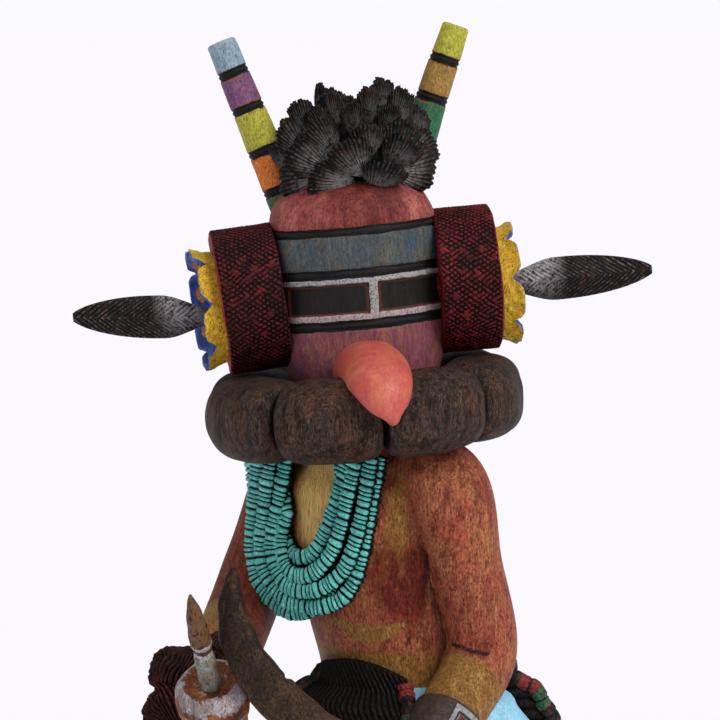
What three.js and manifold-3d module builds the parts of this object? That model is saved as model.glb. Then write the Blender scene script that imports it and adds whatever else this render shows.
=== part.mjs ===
// A carved and painted cottonwood dancer figure, standing on a round wooden slab.
// Millimetres, +Z up. The origin is the centre of the slab's underside and the figure faces -Y.
// "Right" and "left" are the figure's own: its right hand is on the -X side.

import * as THREE from "three";
import { mergeVertices } from "three/addons/utils/BufferGeometryUtils.js";
import Module from "manifold-3d";

const wasm = await Module();
wasm.setup();

const { Vector3, Matrix4, Quaternion, CatmullRomCurve3 } = THREE;
const rad = THREE.MathUtils.degToRad;
const at = (x, y, z) => new Vector3(x, y, z);

// Driving dimensions
const FIT_GAP = 0.3;
const SLAB = { halfWidth: 50, halfDepth: 43, height: 15, edge: 3 };

const BODY_TURN = rad(-38);
const NECK = at(1, 0, 222);
const WAIST = at(9, 2, 158);
const HIPS = at(12, 3, 136);

const HEAD = { pivot: at(1.9, 0, 227), turn: rad(12), lean: rad(-5) };
const MASK = { radius: 21.9, foot: 20.6, top: 61, shoulder: 11 };
const RUFF = { ring: 31.5, tubeWide: 12, tubeTall: 11.3, shift: -0.9, pinch: 0.62 };
// Where the seams of the ruff are, turned from the front of the mask
const RUFF_SEAMS = [-4, 41, 92, 136, 178, 220, 256, 311].map(rad);
const EAR = { radius: 19.6, inner: 20.8, outer: 37.2, height: 31.5, edge: 0.8, turn: rad(-7) };
const EAR_DROOP = { right: rad(3.4), left: 0 };
const EAR_HUB = { radius: 10, inner: 14 };
const BLOSSOM = { radius: 16.6, neck: 15.2, depth: 6.2, wall: 1.7, petals: 8, notch: 2.8, notchWide: 5.4 };
const EAR_FEATHER = { root: 39.8, halfWidth: 5.8, thick: 1.9 };
const EAR_FEATHER_TIP = { right: 76.6, left: 80.4 };
const EAR_FEATHER_RISE = { right: [-3.3, 2.2], left: [-2.4, -2.3] };
const HORN_TIP_EDGE = 0.9;
const HORNS = {
  right: { root: at(-11.8, 10, 46), tip: at(-28.3, 16, 100.5), rootRadius: 5.3, tipRadius: 3.6 },
  left: { root: at(12, 10, 46), tip: at(35, 6, 99.4), rootRadius: 5.8, tipRadius: 3.4 },
};
const CREST = { centre: at(2.7, -1, 67), halfWide: 15.5, halfTall: 12.5, lift: rad(32) };
const CREST_FEATHER = { length: 14, halfWidth: 6.4, thick: 1.3 };
const CREST_ROWS = [
  { feathers: 8, latitude: rad(-10), tips: -1, start: rad(8) },
  { feathers: 8, latitude: rad(14), tips: 1, start: rad(30) },
  { feathers: 6, latitude: rad(40), tips: 1, start: rad(12) },
  { feathers: 4, latitude: rad(68), tips: 1, start: rad(35) },
];
const BEAK = { halfWidth: 8.7, halfHeight: 7.8, tip: 0.6 };
const BEAK_ROUTE = [
  at(-2.6, -14, 10.6), at(-3.2, -28, 11), at(-4, -41, 8.8), at(-3.7, -46, 3.5), at(-3, -47, -0.6),
];

const ARM = { shoulder: 11.3, upper: 9.7, elbow: 9.5, fore: 9.1, wrist: 7 };
const LEFT_ARM = [
  at(14, -8, 212), at(22.5, -15.5, 207.5), at(28.7, -16, 184),
  at(32.6, -15, 162), at(25, -26, 149), at(16, -39.5, 135.8),
];
const RIGHT_ARM = [
  at(-12, 10, 211), at(-17, 17, 205), at(-24.5, 16, 189),
  at(-31.4, 12, 171.5), at(-35.6, -6, 161), at(-36.6, -29, 148),
];
const FIST = at(8.4, 8.6, 7.4);
const LEFT_FIST = at(14, -42, 133.5);
const RIGHT_FIST = at(-36.2, -34.5, 145.5);

// The necklace's middle line on the chest: distance to the figure's left, and height
const NECKLACE_ROUTE = [
  [-21.2, 216], [-22.4, 198], [-21.5, 184.8], [-14.5, 179.2],
  [-4.5, 179.8], [3, 185.6], [7.6, 194.8], [11.5, 216],
];
const NECKLACE_DEPTH = 3.6;

const KILT = { top: 152.5, hem: 98, shift: at(2.5, 0, 0) };
const APRON = { top: 159.2, length: 42, arch: 4.5, thick: 2.4, sunk: 8 };
const FRONT_APRON = { facing: rad(-6), halfAngle: rad(37), raised: 0, bulge: 1.4 };
const BACK_APRON = { facing: Math.PI, halfAngle: rad(43), raised: 6, bulge: 8.5 };
const LEFT_LEG = [at(23, 0, 112), at(25, -5, 90), at(26.5, -8, 70), at(26, -3, 46), at(25.5, 3, 24)];
const RIGHT_LEG = [at(-1, -3, 112), at(-5, -10, 90), at(-8, -13, 70), at(-9.5, -7, 46), at(-11, -1, 24)];
const LEG = { thigh: 12, knee: 9, calf: 9.4, ankle: 6.6 };
const FOOT = at(8.2, 18, 9.5);

const GOURD = { centre: at(-38, -44.5, 156), radius: 10, halfTall: 7.2 };
const HANDLE = { grip: 2.4, post: 2.7, spear: 3, below: 22, above: 35 };
const HANDLE_AXIS = at(-0.14, -0.53, 0.835).normalize();
const STICK_ROUTE = [
  at(-32.6, -47, 190), at(-33, -50, 179.5), at(-29, -54.5, 168), at(-17, -54, 153.5), at(-0.8, -48, 141.5),
  at(14, -42, 133.5), at(29, -37, 127.5),
];
const STICK = { tip: 1.2, upper: 4.9, middle: 5.9, lower: 4.6, flat: 0.58, grip: 0.7 };

// Geometry helpers

// A closed geometry as a manifold solid: only positions count, shared points are merged and slivers dropped.
function solid(geometry, matrix = new Matrix4()) {
  const bare = new THREE.BufferGeometry().setAttribute("position", geometry.getAttribute("position").clone());
  bare.setIndex(geometry.index);
  const merged = mergeVertices(bare.applyMatrix4(matrix));
  const corners = merged.index.array;
  const kept = [];
  for (let i = 0; i < corners.length; i += 3) {
    const [a, b, c] = corners.slice(i, i + 3);
    if (a !== b && b !== c && c !== a) kept.push(a, b, c);
  }
  return new wasm.Manifold(
    new wasm.Mesh({
      numProp: 3,
      vertProperties: merged.getAttribute("position").array,
      triVerts: Uint32Array.from(kept),
    }),
  );
}

const join = (solids) => solids.reduce((whole, next) => whole.add(next));

function geometryOf(made) {
  const mesh = made.getMesh();
  const geometry = new THREE.BufferGeometry();
  geometry.setAttribute("position", new THREE.BufferAttribute(mesh.vertProperties, 3));
  geometry.setIndex(new THREE.BufferAttribute(mesh.triVerts, 1));
  const faceted = geometry.toNonIndexed();
  faceted.computeVertexNormals();
  return faceted;
}

// Values between stops [t, a, b, ...], eased from one stop to the next.
function profile(...stops) {
  return (t) => {
    const next = Math.max(1, stops.findIndex((stop) => stop[0] >= t));
    const [from, to] = [stops[next - 1], stops[next]];
    const share = THREE.MathUtils.smoothstep(t, from[0], to[0]);
    return from.slice(1).map((value, i) => value + (to[i + 1] - value) * share);
  };
}

// A cylinder bent along a curve, with its own half-width and half-depth all the way along.
function limb(curve, section, { sides = 16, steps = 14, front = at(0, -1, 0), grow = 0 } = {}) {
  const geometry = new THREE.CylinderGeometry(1, 1, 1, sides, steps);
  const points = geometry.getAttribute("position");
  const point = new Vector3();
  for (let i = 0; i < points.count; i++) {
    point.fromBufferAttribute(points, i);
    const t = THREE.MathUtils.clamp(point.y + 0.5, 0, 1);
    const along = curve.getTangentAt(t);
    const side = new Vector3().crossVectors(along, front).normalize();
    const face = new Vector3().crossVectors(side, along);
    const [wide, deep] = section(t);
    const placed = curve
      .getPointAt(t)
      .addScaledVector(side, point.x * (wide + grow))
      .addScaledVector(face, point.z * (deep + grow));
    points.setXYZ(i, placed.x, placed.y, placed.z);
  }
  return geometry;
}

const curveThrough = (points) => new CatmullRomCurve3(points, false, "centripetal");

function lathe(outline, segments) {
  const points = outline.map(([r, z]) => new THREE.Vector2(Math.max(r, 0), z));
  return new THREE.LatheGeometry(points, segments).rotateX(Math.PI / 2);
}

function ball(radii, centre, [wide, tall] = [10, 6]) {
  const matrix = new Matrix4().compose(centre, new Quaternion(), radii);
  return solid(new THREE.SphereGeometry(1, wide, tall).rotateX(Math.PI / 2), matrix);
}

// Turns +Z to the given direction and moves to a point.
function aim(direction, origin) {
  const turn = new Quaternion().setFromUnitVectors(at(0, 0, 1), direction.clone().normalize());
  return new Matrix4().compose(origin, turn, at(1, 1, 1));
}

// Head parts, in the head's own frame: origin at the middle of the ruff, mask facing -Y

const headMatrix = new Matrix4()
  .makeTranslation(HEAD.pivot)
  .multiply(new Matrix4().makeRotationY(HEAD.lean))
  .multiply(new Matrix4().makeRotationZ(HEAD.turn));

function mask(grow = 0) {
  const { radius, foot, top, shoulder } = MASK;
  const outline = [
    [0, -8], [foot + grow, -8], [foot + grow, 8], [radius + grow, 26], [radius + grow, top - shoulder],
  ];
  for (let i = 1; i <= 3; i++) {
    const turn = (i / 3) * Math.PI * 0.5;
    const inwards = shoulder * (1 - Math.cos(turn));
    outline.push([radius - inwards + grow, top - shoulder * (1 - Math.sin(turn)) + grow]);
  }
  outline.push([0, top + grow + 0.5]);
  return solid(lathe(outline, 20));
}

// One stuffed roll of the ruff, bulging between two pinched seams.
function ruffLobe(index, grow) {
  const from = RUFF_SEAMS[index] - 0.02;
  const span = (RUFF_SEAMS[index + 1] ?? RUFF_SEAMS[0] + 2 * Math.PI) - RUFF_SEAMS[index];
  const points = [0, 1, 2, 3, 4].map((i) => {
    const turn = from + (i / 4) * (span + 0.04);
    return at(RUFF.shift + RUFF.ring * Math.sin(turn), -RUFF.ring * Math.cos(turn), 0);
  });
  const { pinch } = RUFF;
  const bulge = (t) => pinch + (1 - pinch) * Math.sqrt(1 - Math.pow(Math.abs(2 * t - 1), 3.5));
  const section = (t) => [RUFF.tubeWide * bulge(t), RUFF.tubeTall * bulge(t)];
  return solid(limb(curveThrough(points), section, { sides: 8, steps: 4, front: at(0, 0, 1), grow }));
}

function ruff(grow = 0) {
  const lobes = RUFF_SEAMS.map((_, index) => ruffLobe(index, grow));
  const core = solid(new THREE.CylinderGeometry(26, 26, 15, 16).rotateX(Math.PI / 2));
  return join([core, ...lobes]);
}

function beak(grow = 0) {
  const { halfWidth, halfHeight, tip } = BEAK;
  const taper = (t, fullness, roundness) => Math.pow(1 - Math.pow(t, fullness), roundness);
  const section = (t) => [halfWidth * taper(t, 5, 0.8) + tip, halfHeight * taper(t, 2.5, 0.7) + tip];
  return solid(limb(curveThrough(BEAK_ROUTE), section, { sides: 12, steps: 8, front: at(0, 0, 1), grow }));
}

function horn(side, grow = 0) {
  const { root, tip, rootRadius, tipRadius } = HORNS[side];
  const reach = tip.clone().sub(root);
  const length = reach.length();
  const outline = [
    [0, -grow], [rootRadius + grow, -grow], [tipRadius + grow, length - HORN_TIP_EDGE],
    [tipRadius + grow - HORN_TIP_EDGE, length + grow], [0, length + grow],
  ];
  return solid(lathe(outline, 12), aim(reach, root));
}

const earSign = (side) => (side === "right" ? -1 : 1);
const earAxis = (side) =>
  at(Math.cos(EAR.turn), Math.sin(EAR.turn), 0)
    .multiplyScalar(earSign(side))
    .setZ(-Math.tan(EAR_DROOP[side]))
    .normalize();
// A point on the ear's axis. The axis droops about the middle of the drum.
function earPoint(side, distance, rise = 0) {
  const middle = (EAR.inner + EAR.outer) / 2;
  const start = at(0, 0, EAR.height + rise + middle * Math.sin(EAR_DROOP[side]));
  return start.addScaledVector(earAxis(side), distance);
}

// A drum with a smaller hub that is let into the mask.
function earRoll(side) {
  const { radius, inner, outer, edge } = EAR;
  const outline = [
    [0, EAR_HUB.inner], [EAR_HUB.radius, EAR_HUB.inner], [EAR_HUB.radius, inner],
    [radius, inner], [radius, outer - edge], [radius - edge, outer], [0, outer],
  ];
  return solid(lathe(outline, 20), aim(earAxis(side), earPoint(side, 0)));
}

// An eight-petalled squash blossom: an open cup with notches cut in its rim.
function blossom(side) {
  const { radius, neck, depth, wall, petals, notch, notchWide } = BLOSSOM;
  const start = EAR.outer + FIT_GAP;
  const cup = [
    [0, start], [neck, start], [radius, start + depth], [radius - wall, start + depth],
    [radius - wall - 1, start + depth * 0.5], [neck - wall - 2, start + 1.7], [0, start + 1.7],
  ];
  const place = aim(earAxis(side), earPoint(side, 0));
  let made = solid(lathe(cup, 16), place);
  for (let i = 0; i < petals; i++) {
    const cutter = new THREE.CylinderGeometry(notchWide, notchWide, 12, 3)
      .rotateZ(Math.PI / 2)
      .scale(1, 0.62, (notch * 2) / (notchWide * 3))
      .rotateX(Math.PI)
      .translate(radius, 0, start + depth + 0.2)
      .rotateZ(((i + 0.5) * 2 * Math.PI) / petals);
    made = made.subtract(solid(cutter, place));
  }
  return made;
}

function earFeather(side) {
  const { root, halfWidth, thick } = EAR_FEATHER;
  const [rootRise, tipRise] = EAR_FEATHER_RISE[side];
  const route = new THREE.LineCurve3(
    earPoint(side, root, rootRise),
    earPoint(side, EAR_FEATHER_TIP[side], tipRise),
  );
  const section = profile(
    [0, 1.5, thick * 0.7], [0.42, halfWidth, thick],
    [0.7, halfWidth * 0.8, thick * 0.8], [1, 0.9, thick * 0.4],
  );
  return solid(limb(route, section, { sides: 6, steps: 6 }));
}

// One shell-shaped feather of the crest. It lies on the mound like a scale, with its tip lifted up or down.
function crestFeather(turn, { latitude, tips }) {
  const { length, halfWidth, thick } = CREST_FEATHER;
  const out = at(Math.sin(turn), -Math.cos(turn), 0);
  const up = at(0, 0, 1);
  const between = (first, second, angle) =>
    first.clone().multiplyScalar(Math.cos(angle)).addScaledVector(second, Math.sin(angle));
  const normal = between(out, up, latitude);
  const along = between(up, out, -latitude).multiplyScalar(tips);
  const ahead = between(along, normal, CREST.lift);
  const face = between(normal, along, -CREST.lift);
  const base = CREST.centre
    .clone()
    .addScaledVector(out, CREST.halfWide * Math.cos(latitude))
    .addScaledVector(up, CREST.halfTall * Math.sin(latitude));
  const route = new THREE.LineCurve3(
    base.clone().addScaledVector(ahead, -0.35 * length),
    base.clone().addScaledVector(ahead, 0.65 * length),
  );
  const section = profile([0, 3, thick], [0.6, halfWidth, thick], [1, halfWidth * 0.6, thick * 0.6]);
  return solid(limb(route, section, { sides: 4, steps: 2, front: face }));
}

function crest() {
  const mound = ball(at(CREST.halfWide, CREST.halfWide, CREST.halfTall), CREST.centre, [10, 6]);
  const feathers = CREST_ROWS.flatMap((row) => {
    const step = (2 * Math.PI) / row.feathers;
    return Array.from({ length: row.feathers }, (_, i) => crestFeather(row.start + i * step, row));
  });
  return join([mound, ...feathers]);
}

// The figure, carved in one piece: mask, ruff, body, arms, kilt and legs

const bodyFront = at(Math.sin(BODY_TURN), -Math.cos(BODY_TURN), 0);
const bodySide = at(Math.cos(BODY_TURN), Math.sin(BODY_TURN), 0);
const spine = curveThrough([HIPS, WAIST, at(4, 1.5, 184), at(1, 1, 206), NECK]);
const torsoSection = profile(
  [0, 26, 20], [0.25, 22, 16], [0.45, 23, 16.8], [0.66, 25.5, 17.8],
  [0.8, 25, 16.2], [0.9, 17, 13], [1, 13, 12.5],
);

function torso() {
  return solid(limb(spine, torsoSection, { sides: 12, steps: 8, front: bodyFront }));
}

function arm(joints) {
  const { shoulder, upper, elbow, fore, wrist } = ARM;
  const section = profile(
    [0, shoulder * 0.8, shoulder * 0.8], [0.14, shoulder, shoulder], [0.36, upper, upper],
    [0.58, elbow, elbow], [0.76, fore, fore], [1, wrist, wrist],
  );
  const front = at(0.9, -0.4, 0).normalize();
  return solid(limb(curveThrough(joints), section, { sides: 8, steps: 8, front }));
}

// The necklace lies on the chest as one draped band of strands.
function necklace() {
  const points = NECKLACE_ROUTE.map(([sideways, z]) => {
    const out = 17.4 - 0.0042 * sideways * sideways - 0.012 * (z - 190);
    return at(2, 1.2, z).addScaledVector(bodySide, sideways).addScaledVector(bodyFront, out);
  });
  const section = profile(
    [0, 9.2, NECKLACE_DEPTH], [0.35, 10.4, NECKLACE_DEPTH],
    [0.6, 10, NECKLACE_DEPTH], [1, 6.1, NECKLACE_DEPTH],
  );
  return solid(limb(curveThrough(points), section, { sides: 6, steps: 10, front: bodyFront }));
}

const kiltSection = profile(
  [KILT.hem, 39, 31], [125, 38, 29], [138, 37.2, 27.8], [147, 32.5, 24], [KILT.top, 24, 18],
);

function kiltMiddle(z) {
  const share = THREE.MathUtils.clamp((z - HIPS.z) / (WAIST.z - HIPS.z), 0, 1);
  return HIPS.clone().lerp(WAIST, share).add(KILT.shift).setZ(z);
}

// A point on the kilt's surface, at a turn from the body's front, standing out by some distance.
function onKilt(turn, z, out) {
  const [wide, deep] = kiltSection(THREE.MathUtils.clamp(z, KILT.hem, KILT.top));
  return kiltMiddle(z)
    .addScaledVector(bodySide, (wide + out) * Math.sin(turn))
    .addScaledVector(bodyFront, (deep + out) * Math.cos(turn));
}

function kilt() {
  const heights = new THREE.LineCurve3(at(0, 0, KILT.hem), at(0, 0, KILT.top));
  const geometry = limb(heights, () => [1, 1], { sides: 16, steps: 5, front: bodyFront });
  const points = geometry.getAttribute("position");
  const point = new Vector3();
  for (let i = 0; i < points.count; i++) {
    point.fromBufferAttribute(points, i);
    const [sideways, forward] = [point.dot(bodySide), point.dot(bodyFront)];
    const edge = Math.min(1, Math.hypot(sideways, forward));
    const skin = onKilt(Math.atan2(sideways, forward), point.z, 0);
    const placed = kiltMiddle(point.z).lerp(skin, edge);
    points.setXYZ(i, placed.x, placed.y, placed.z);
  }
  return solid(geometry);
}

// A round-ended apron of yarn that hangs over the kilt, in front or behind.
function apron({ facing, halfAngle, raised, bulge }) {
  const geometry = new THREE.BoxGeometry(2, 1, 1, 6, 1, 4);
  const points = geometry.getAttribute("position");
  for (let i = 0; i < points.count; i++) {
    const across = points.getX(i);
    const down = 0.5 - points.getZ(i);
    const wide = Math.sqrt(Math.max(0.03, 1 - Math.pow(down, 5)));
    const droop = APRON.arch * across * across;
    const height = APRON.top + raised - droop - down * (APRON.length - droop);
    const belly = Math.pow(Math.sin(Math.PI * Math.min(0.999, down * 0.9 + 0.1)), 0.6);
    const edge = 1 - 0.4 * Math.pow(Math.abs(across), 6);
    const out = points.getY(i) < 0 ? (APRON.thick + bulge * belly) * edge : -APRON.sunk;
    const placed = onKilt(facing + across * halfAngle * wide, height, out);
    points.setXYZ(i, placed.x, placed.y, placed.z);
  }
  return solid(geometry);
}

function leg(joints) {
  const { thigh, knee, calf, ankle } = LEG;
  const section = profile(
    [0, thigh, thigh], [0.2, thigh, thigh], [0.48, knee, knee], [0.68, calf, calf], [1, ankle, ankle],
  );
  return solid(limb(curveThrough(joints), section, { sides: 8, steps: 6 }));
}

function foot(ankle) {
  const toes = at(ankle.x, ankle.y - 7, SLAB.height + 3);
  const shoe = ball(FOOT, toes, [10, 6]);
  const below = new Matrix4().makeTranslation(toes.x, toes.y, SLAB.height + FIT_GAP - 20);
  const ground = solid(new THREE.BoxGeometry(60, 80, 40), below);
  return shoe.subtract(ground);
}

// The yarn tuft that hangs at the outer side of the right wrist: three fat curls.
function wristTuft() {
  const curls = [
    { centre: at(-47, -23, 158.5), radii: at(9.2, 8, 6.8) },
    { centre: at(-49.5, -26, 147.5), radii: at(7.8, 7.5, 9.5) },
    { centre: at(-45, -20, 142), radii: at(8, 8, 9) },
  ];
  return join(curls.map(({ centre, radii }) => ball(radii, centre, [8, 6])));
}

function figure() {
  const carved = join([
    torso(),
    solid(geometryOf(mask()), headMatrix),
    solid(geometryOf(ruff()), headMatrix),
    necklace(),
    arm(LEFT_ARM),
    arm(RIGHT_ARM),
    ball(FIST, LEFT_FIST),
    ball(FIST, RIGHT_FIST),
    wristTuft(),
    kilt(),
    apron(FRONT_APRON),
    apron(BACK_APRON),
    leg(LEFT_LEG),
    leg(RIGHT_LEG),
    foot(LEFT_LEG.at(-1)),
    foot(RIGHT_LEG.at(-1)),
  ]);
  const beakPocket = solid(geometryOf(beak(FIT_GAP)), headMatrix);
  const pockets = [beakPocket, rattleHandle(FIT_GAP), rattleGourd(FIT_GAP), stick(FIT_GAP)];
  return pockets.reduce((whole, pocket) => whole.subtract(pocket), carved);
}

// What the hands hold

function rattleHandle(grow = 0) {
  const { grip, post, spear, below, above } = HANDLE;
  const outline = [
    [0, -below - grow], [grip + grow, -below - grow],
    [grip + grow, GOURD.halfTall - 1], [post + grow, GOURD.halfTall],
    [post + grow, 15], [post - 0.5 + grow, 15.6], [post - 0.5 + grow, 17],
    [spear + grow, 18.5], [spear + grow, 22],
    [spear * 0.72 + grow, 29], [0.8 + grow, above + grow], [0, above + grow],
  ];
  return solid(lathe(outline, 10), aim(HANDLE_AXIS, GOURD.centre));
}

function rattleGourd(grow = 0) {
  const [radius, halfTall] = [GOURD.radius + grow, GOURD.halfTall + grow];
  const outline = [[0, -halfTall]];
  for (let i = 1; i <= 6; i++) {
    const turn = -Math.PI / 2 + (i / 7) * Math.PI;
    outline.push([radius * Math.pow(Math.cos(turn), 0.72), halfTall * Math.sin(turn)]);
  }
  outline.push([radius * 0.5, halfTall - 1.2], [0, halfTall - 2]);
  return solid(lathe(outline, 10), aim(HANDLE_AXIS, GOURD.centre));
}

function stick(grow = 0) {
  const { tip, upper, middle, lower, flat, grip } = STICK;
  const section = profile(
    [0, tip, tip], [0.1, upper * 0.78, upper * flat], [0.2, upper, upper * flat],
    [0.37, middle, middle * flat], [0.55, middle, middle * flat],
    [0.76, lower, lower * grip], [0.93, lower, lower * grip], [1, lower * 0.8, lower * 0.5],
  );
  return solid(limb(curveThrough(STICK_ROUTE), section, { sides: 8, steps: 13, front: at(0, -1, 0), grow }));
}

// The slab it stands on

function slab() {
  const { halfWidth, halfDepth, height, edge } = SLAB;
  const outline = [
    [0, 0], [halfWidth - 1, 0], [halfWidth, 1], [halfWidth, height - edge],
    [halfWidth - edge * 0.35, height - edge * 0.3], [halfWidth - edge, height], [0, height],
  ];
  return solid(lathe(outline, 20), new Matrix4().makeScale(1, halfDepth / halfWidth, 1));
}

// Materials and the scene graph

const paint = (color, roughness = 0.7) => new THREE.MeshStandardMaterial({ color, roughness, metalness: 0 });
const material = {
  body: paint(0x9b5230),
  slab: paint(0x8a6a45, 0.65),
  horn: paint(0xb0b53a),
  ear: paint(0x5a1d1e, 0.75),
  blossom: paint(0xc9a01f),
  feather: paint(0x2a2422, 0.6),
  beak: paint(0xd96a52, 0.55),
  gourd: paint(0x9a7a66),
  handle: paint(0x8ba8a2),
  stick: paint(0x4a382a, 0.6),
};

function piece(name, made, look) {
  const mesh = new THREE.Mesh(geometryOf(made), look);
  mesh.name = name;
  return mesh;
}

const head = new THREE.Group();
head.applyMatrix4(headMatrix);
const maskRoom = mask(FIT_GAP);
const ruffRoom = ruff(FIT_GAP);
const hornRoom = { right: horn("right", FIT_GAP), left: horn("left", FIT_GAP) };
for (const side of ["right", "left"]) {
  const roll = earRoll(side).subtract(maskRoom).subtract(ruffRoom).subtract(hornRoom[side]);
  head.add(
    piece(`${side}_horn`, horn(side).subtract(maskRoom), material.horn),
    piece(`${side}_ear_roll`, roll, material.ear),
    piece(`${side}_blossom`, blossom(side).subtract(ruffRoom), material.blossom),
    piece(`${side}_ear_feather`, earFeather(side), material.feather),
  );
}
const crestSolid = crest().subtract(maskRoom).subtract(hornRoom.right).subtract(hornRoom.left);
head.add(piece("feather_crest", crestSolid, material.feather));
head.add(piece("beak", beak().subtract(maskRoom), material.beak));

const doll = new THREE.Group();
doll.add(
  piece("slab", slab(), material.slab),
  piece("figure", figure(), material.body),
  head,
  piece("rattle_gourd", rattleGourd().subtract(rattleHandle(FIT_GAP)), material.gourd),
  piece("rattle_handle", rattleHandle(), material.handle),
  piece("curved_stick", stick(), material.stick),
);

export default doll;
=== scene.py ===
import math

import bpy
import numpy as np
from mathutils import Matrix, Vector


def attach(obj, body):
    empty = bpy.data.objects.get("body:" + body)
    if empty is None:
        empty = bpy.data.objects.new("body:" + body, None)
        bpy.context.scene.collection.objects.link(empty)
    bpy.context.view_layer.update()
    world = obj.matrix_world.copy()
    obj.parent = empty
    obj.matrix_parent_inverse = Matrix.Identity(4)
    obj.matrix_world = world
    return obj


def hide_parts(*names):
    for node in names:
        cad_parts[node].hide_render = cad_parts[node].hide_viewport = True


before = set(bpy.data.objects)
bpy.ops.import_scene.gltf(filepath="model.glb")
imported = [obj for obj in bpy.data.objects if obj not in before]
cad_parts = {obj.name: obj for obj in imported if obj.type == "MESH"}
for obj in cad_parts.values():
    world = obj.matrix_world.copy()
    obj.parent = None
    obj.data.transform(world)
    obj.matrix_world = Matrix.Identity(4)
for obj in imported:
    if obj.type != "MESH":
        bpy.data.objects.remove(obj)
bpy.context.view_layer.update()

# Sizes are millimetres in the row frame unless a name says otherwise. The doll faces -Y.
MM = 0.001
PI = math.pi

BODY_TURN = math.radians(-38)
BODY_FRONT = np.array([math.sin(BODY_TURN), -math.cos(BODY_TURN), 0.0])
BODY_SIDE = np.array([math.cos(BODY_TURN), math.sin(BODY_TURN), 0.0])
BODY_CENTRE = np.array([2.0, 1.2, 0.0])
UP = np.array([0.0, 0.0, 1.0])
FORWARD = np.array([0.0, -1.0, 0.0])
SIDE_SIGN = {"right": -1, "left": 1}

HEAD_PIVOT = np.array([1.9, 0.0, 227.0])
HEAD_TURN = math.radians(12)
HEAD_LEAN = math.radians(-5)

MASK_RADIUS, MASK_FOOT, MASK_TOP, MASK_SHOULDER = 21.9, 20.6, 61.0, 11.0
MASK_SUNK, MASK_FULLER, MASK_LINE_DEPTH = -6.0, 2.0, 0.5
MASK_ROWS, MASK_COLUMNS = 165, 200
MASK_LINES = (49.0, 47.5, 38.1, 36.5, 24.3, 22.7)
EYE_LOW, EYE_HIGH, EYE_DEPTH = 26.8, 34.2, 0.6
# how soft the eye slots' edges are: above and below in millimetres, and how sharply their ends turn in
EYE_EDGE, EYE_END = 0.14, 110
EYES = ((math.radians(-62), math.radians(-4.5)), (math.radians(4.5), math.radians(66)))

RUFF_RING, RUFF_WIDE, RUFF_TALL = 31.5, 12.0, 11.3
RUFF_PINCH, RUFF_SHIFT = 0.68, -0.9
RUFF_STEPS, RUFF_COLUMNS = 44, 72
# where the ruff's slits are, turned from the front of the mask
RUFF_SEAMS = np.radians((-4, 41, 92, 136, 178, 220, 256, 311, 356))

EAR_RADIUS, EAR_OUTER, EAR_HEIGHT = 19.6, 37.2, 31.5
EAR_INNER = {"right": 20.6, "left": 21.2}
EAR_LEAN = {"right": math.radians(-3.4), "left": 0.0}
EAR_TURN = math.radians(-7)
EAR_HUB_RADIUS, EAR_HUB_INNER = 10.0, 18.0
EAR_CUT_SPACING, EAR_CUT_DEPTH = 1.2, 0.36
EAR_CUT_SLANTS = (math.radians(62), math.radians(-48))
EAR_CUT_FORCE = (0.95, 0.8)
EAR_WALL_ROWS, EAR_COLUMNS = 62, 340

BLOSSOM_NECK, BLOSSOM_WALL, PETALS = 15.0, 1.9, 8
BLOSSOM_RADIUS, BLOSSOM_COLUMNS = 16.6, 224
BLOSSOM_DEPTH = {"right": 5.6, "left": 4.9}
BLOSSOM_DROP = {"right": 1.0, "left": 2.4}
BLOSSOM_TURN = {"right": math.radians(4), "left": math.radians(1)}
EAR_FEATHER_HALF, PLUME_RIB_PITCH, PLUME_GRID = 5.8, 1.6, (130, 37)
# how far the feather's tip is from the head's middle, and its height over the ear's axis at root and tip
EAR_FEATHER_REACH = {"right": 76.6, "left": 80.4}
EAR_FEATHER_RISE = {"right": (-4.0, -0.6), "left": (-2.4, -2.3)}

HORN_ROOT = {"right": (-11.8, 10, 46), "left": (12, 10, 46)}
HORN_TIP = {"right": (-28.3, 16, 100.5), "left": (35.0, 6, 99.4)}
HORN_RADII = {"right": (5.5, 3.95), "left": (6.0, 3.7)}
HORN_ROWS, HORN_COLUMNS = 190, 40
# where the black rings are along each horn
HORN_RINGS = {"right": (0.06, 0.25, 0.445, 0.66, 0.84), "left": (0.06, 0.25, 0.44, 0.645, 0.83)}

CREST_CENTRE = np.array([2.7, -1.0, 67.0])
CREST_HALF_WIDE, CREST_HALF_TALL = 15.5, 12.5
CREST_LENGTH, CREST_CUT, CREST_GRID = 13.4, 0.65, (9, 73)
# Rows of the crest: feathers, latitude on the mound, how far the tips sway aside and stand off, the
# first one's turn, half the spread of a feather's fan, and how far those at the sides roll to face the front
CREST_ROWS = (
    (10, -22, 80, 24, 6, 48, 0.15), (9, -2, 50, 34, 24, 46, 0.4), (9, 20, 24, 46, 2, 42, 0.55),
    (10, 40, 16, 64, 26, 25, 0.55), (6, 62, 12, 72, 8, 24, 0.4),
)

BEAK_ROUTE = ((-2.6, -14, 10.6), (-3.2, -28, 11.0), (-4.0, -41, 8.8), (-3.7, -46, 3.5), (-3.0, -47, -0.6))
BEAK_HALF_WIDTH, BEAK_HALF_HEIGHT, BEAK_TIP, BEAK_GRID = 8.7, 7.8, 0.6, (80, 96)

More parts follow.
